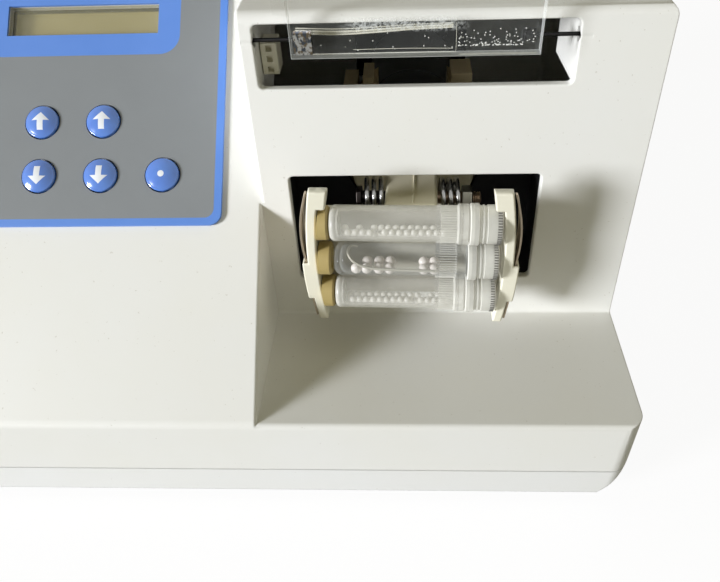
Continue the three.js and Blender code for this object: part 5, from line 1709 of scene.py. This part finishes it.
def bar_bubbles():
    """Bubbles in the block's glue, thick along the glue's lower edge, and a few in the round part."""
    chance = random.Random(5)
    left, right = lid_x
    block, edge, round_part = 70, 60, 14
    clear_radius = 4.0
    points = [(chance.uniform(rod_end + 0.5, right - 1), chance.uniform(-3.2, -2.6),
               -1.1 + abs(chance.gauss(0, 1.6))) for _ in range(block)]
    points += [(chance.uniform(rod_end + 0.5, right - 4), -3.2, -1.2 + chance.uniform(-0.15, 0.15))
               for _ in range(edge)]
    points += [(chance.uniform(left + 2, rod_end - 1), chance.uniform(-3, -1.5), chance.uniform(-2.4, 2.6))
               for _ in range(round_part)]
    inside = [lid_frame @ Vector(point) for point in points if math.hypot(point[1], point[2]) < clear_radius]
    return grown("bubbles", bead_tree(bubble_finish.material), {"Radius": bubble_radius * MM}, inside)


piece(bar_streaks(), "bar_light_streaks", "lid", streak_finish)
piece(bar_bubbles(), "bar_glue_bubbles", "lid", bubble_finish)
piece(hood_piece(), "clear_hood", "lid", lid_acrylic(), ["lid_hood"])
piece(bar_piece(), "clear_bar", "lid", bar_finish, ["lid_hinge_bar"])
piece(magnet_piece(), "magnet_plate", "lid", magnet_finish, ["lid_magnet"])
for side, word in ((-1, "left"), (1, "right")):
    piece(pin_piece(side), f"hinge_axle_{word}", "lid", axle_finish, [f"hinge_pin_{word}"])
piece(sensor_piece(), "lid_sensor", "casing", cream_finish, ["interlock_sensor"])


# Camera, light and floor
def aim_camera():
    """The photograph's view: a camera in front of the shelf that looks down at it."""
    yaw, pitch, roll = math.radians(-3.4), math.radians(41.81), math.radians(2.53)
    camera_x, camera_forward, camera_rise = 47.7, 120.3, 165.6
    focal, image_width, image_height = 677.25, 720, 582
    middle_u, middle_v = 376.4, 281.9
    forward = Vector((math.sin(yaw) * math.cos(pitch), math.cos(yaw) * math.cos(pitch), -math.sin(pitch)))
    right = Vector((math.cos(yaw), -math.sin(yaw), 0))
    down = forward.cross(right)
    image_right = math.cos(roll) * right + math.sin(roll) * down
    image_down = math.cos(roll) * down - math.sin(roll) * right
    place = Matrix((image_right, -image_down, -forward)).transposed().to_4x4()
    place.translation = Vector((camera_x, front_y - camera_forward, shelf_z + camera_rise)) * MM
    data = bpy.data.cameras.new("camera")
    data.sensor_fit = "HORIZONTAL"
    data.sensor_width = 36
    data.lens = focal / image_width * data.sensor_width
    data.shift_x = (image_width / 2 - middle_u) / image_width
    data.shift_y = (middle_v - image_height / 2) / image_width
    data.clip_start = 0.01
    camera = added("camera", data)
    camera.matrix_world = place
    bpy.context.scene.camera = camera


def area_light(name, toward, distance, size, power, colour):
    """A square lamp, so many metres from the tube holder, that shines on it from a direction."""
    data = bpy.data.lights.new(name, "AREA")
    data.size = size
    data.energy = power
    data.color = colour
    lamp = added(name, data)
    direction = Vector(toward).normalized()
    lamp.location = holder_frame.translation * MM + direction * distance
    lamp.rotation_euler = direction.to_track_quat("Z", "Y").to_euler()


def mixed(nodes, share, first, second, output):
    """Ends a tree in a mix of two shaders."""
    mix = nodes.node("ShaderNodeMixShader", values={0: share, 1: first.outputs[0], 2: second.outputs[0]})
    nodes.node(output, values={"Surface": mix.outputs[0]})


def rays(nodes, *kinds):
    """For each kind of ray, 1 where the light path is one."""
    path = nodes.node("ShaderNodeLightPath")
    return [Wire(nodes, path.outputs[f"Is {kind} Ray"]) for kind in kinds]


def pale_floor():
    """A matt floor that the eye sees nearly white, with the object's shadow still on it."""
    half, grey, seen_share, glow_strength = 3, 0.6, 0.85, 1.1
    material = bpy.data.materials.new("floor_white")
    material.use_nodes = True
    nodes = Nodes(material.node_tree)
    nodes.tree.nodes.clear()
    seen, = rays(nodes, "Camera")
    matt = nodes.node("ShaderNodeBsdfDiffuse", values={"Color": (grey, grey, grey, 1)})
    glow = nodes.node("ShaderNodeEmission", values={"Strength": glow_strength})
    mixed(nodes, seen * seen_share, matt, glow, "ShaderNodeOutputMaterial")
    corners = [(x, y, 0) for x, y in rectangle((-half, half), (-half, half))]
    floor = added("floor", mesh_from("floor", corners, [(0, 1, 2, 3)]))
    floor.data.materials.append(material)


def surrounding_light(strength, colour):
    """Soft light from all round, which the eye, a mirror and glass see as white."""
    world = bpy.data.worlds.new("world")
    world.use_nodes = True
    bpy.context.scene.world = world
    nodes = Nodes(world.node_tree)
    nodes.tree.nodes.clear()
    camera, glossy, through = rays(nodes, "Camera", "Glossy", "Transmission")
    soft = nodes.node("ShaderNodeBackground", values={"Color": (*colour, 1), "Strength": strength})
    white = nodes.node("ShaderNodeBackground", values={"Color": (1, 1, 1, 1)})
    mixed(nodes, nodes.most(nodes.most(camera, glossy), through), soft, white, "ShaderNodeOutputWorld")


aim_camera()
pale_floor()
surrounding_light(0.145, (1.0, 0.92, 0.46))
area_light("key", (-0.86, -0.47, 0.20), distance=4, size=0.97, power=246, colour=(0.94, 0.96, 1.0))
area_light("fill", (0.9, -0.35, 0.25), distance=2.0, size=1.4, power=3.0, colour=(1.0, 0.98, 0.86))
bpy.context.scene.view_settings.view_transform = "Standard"
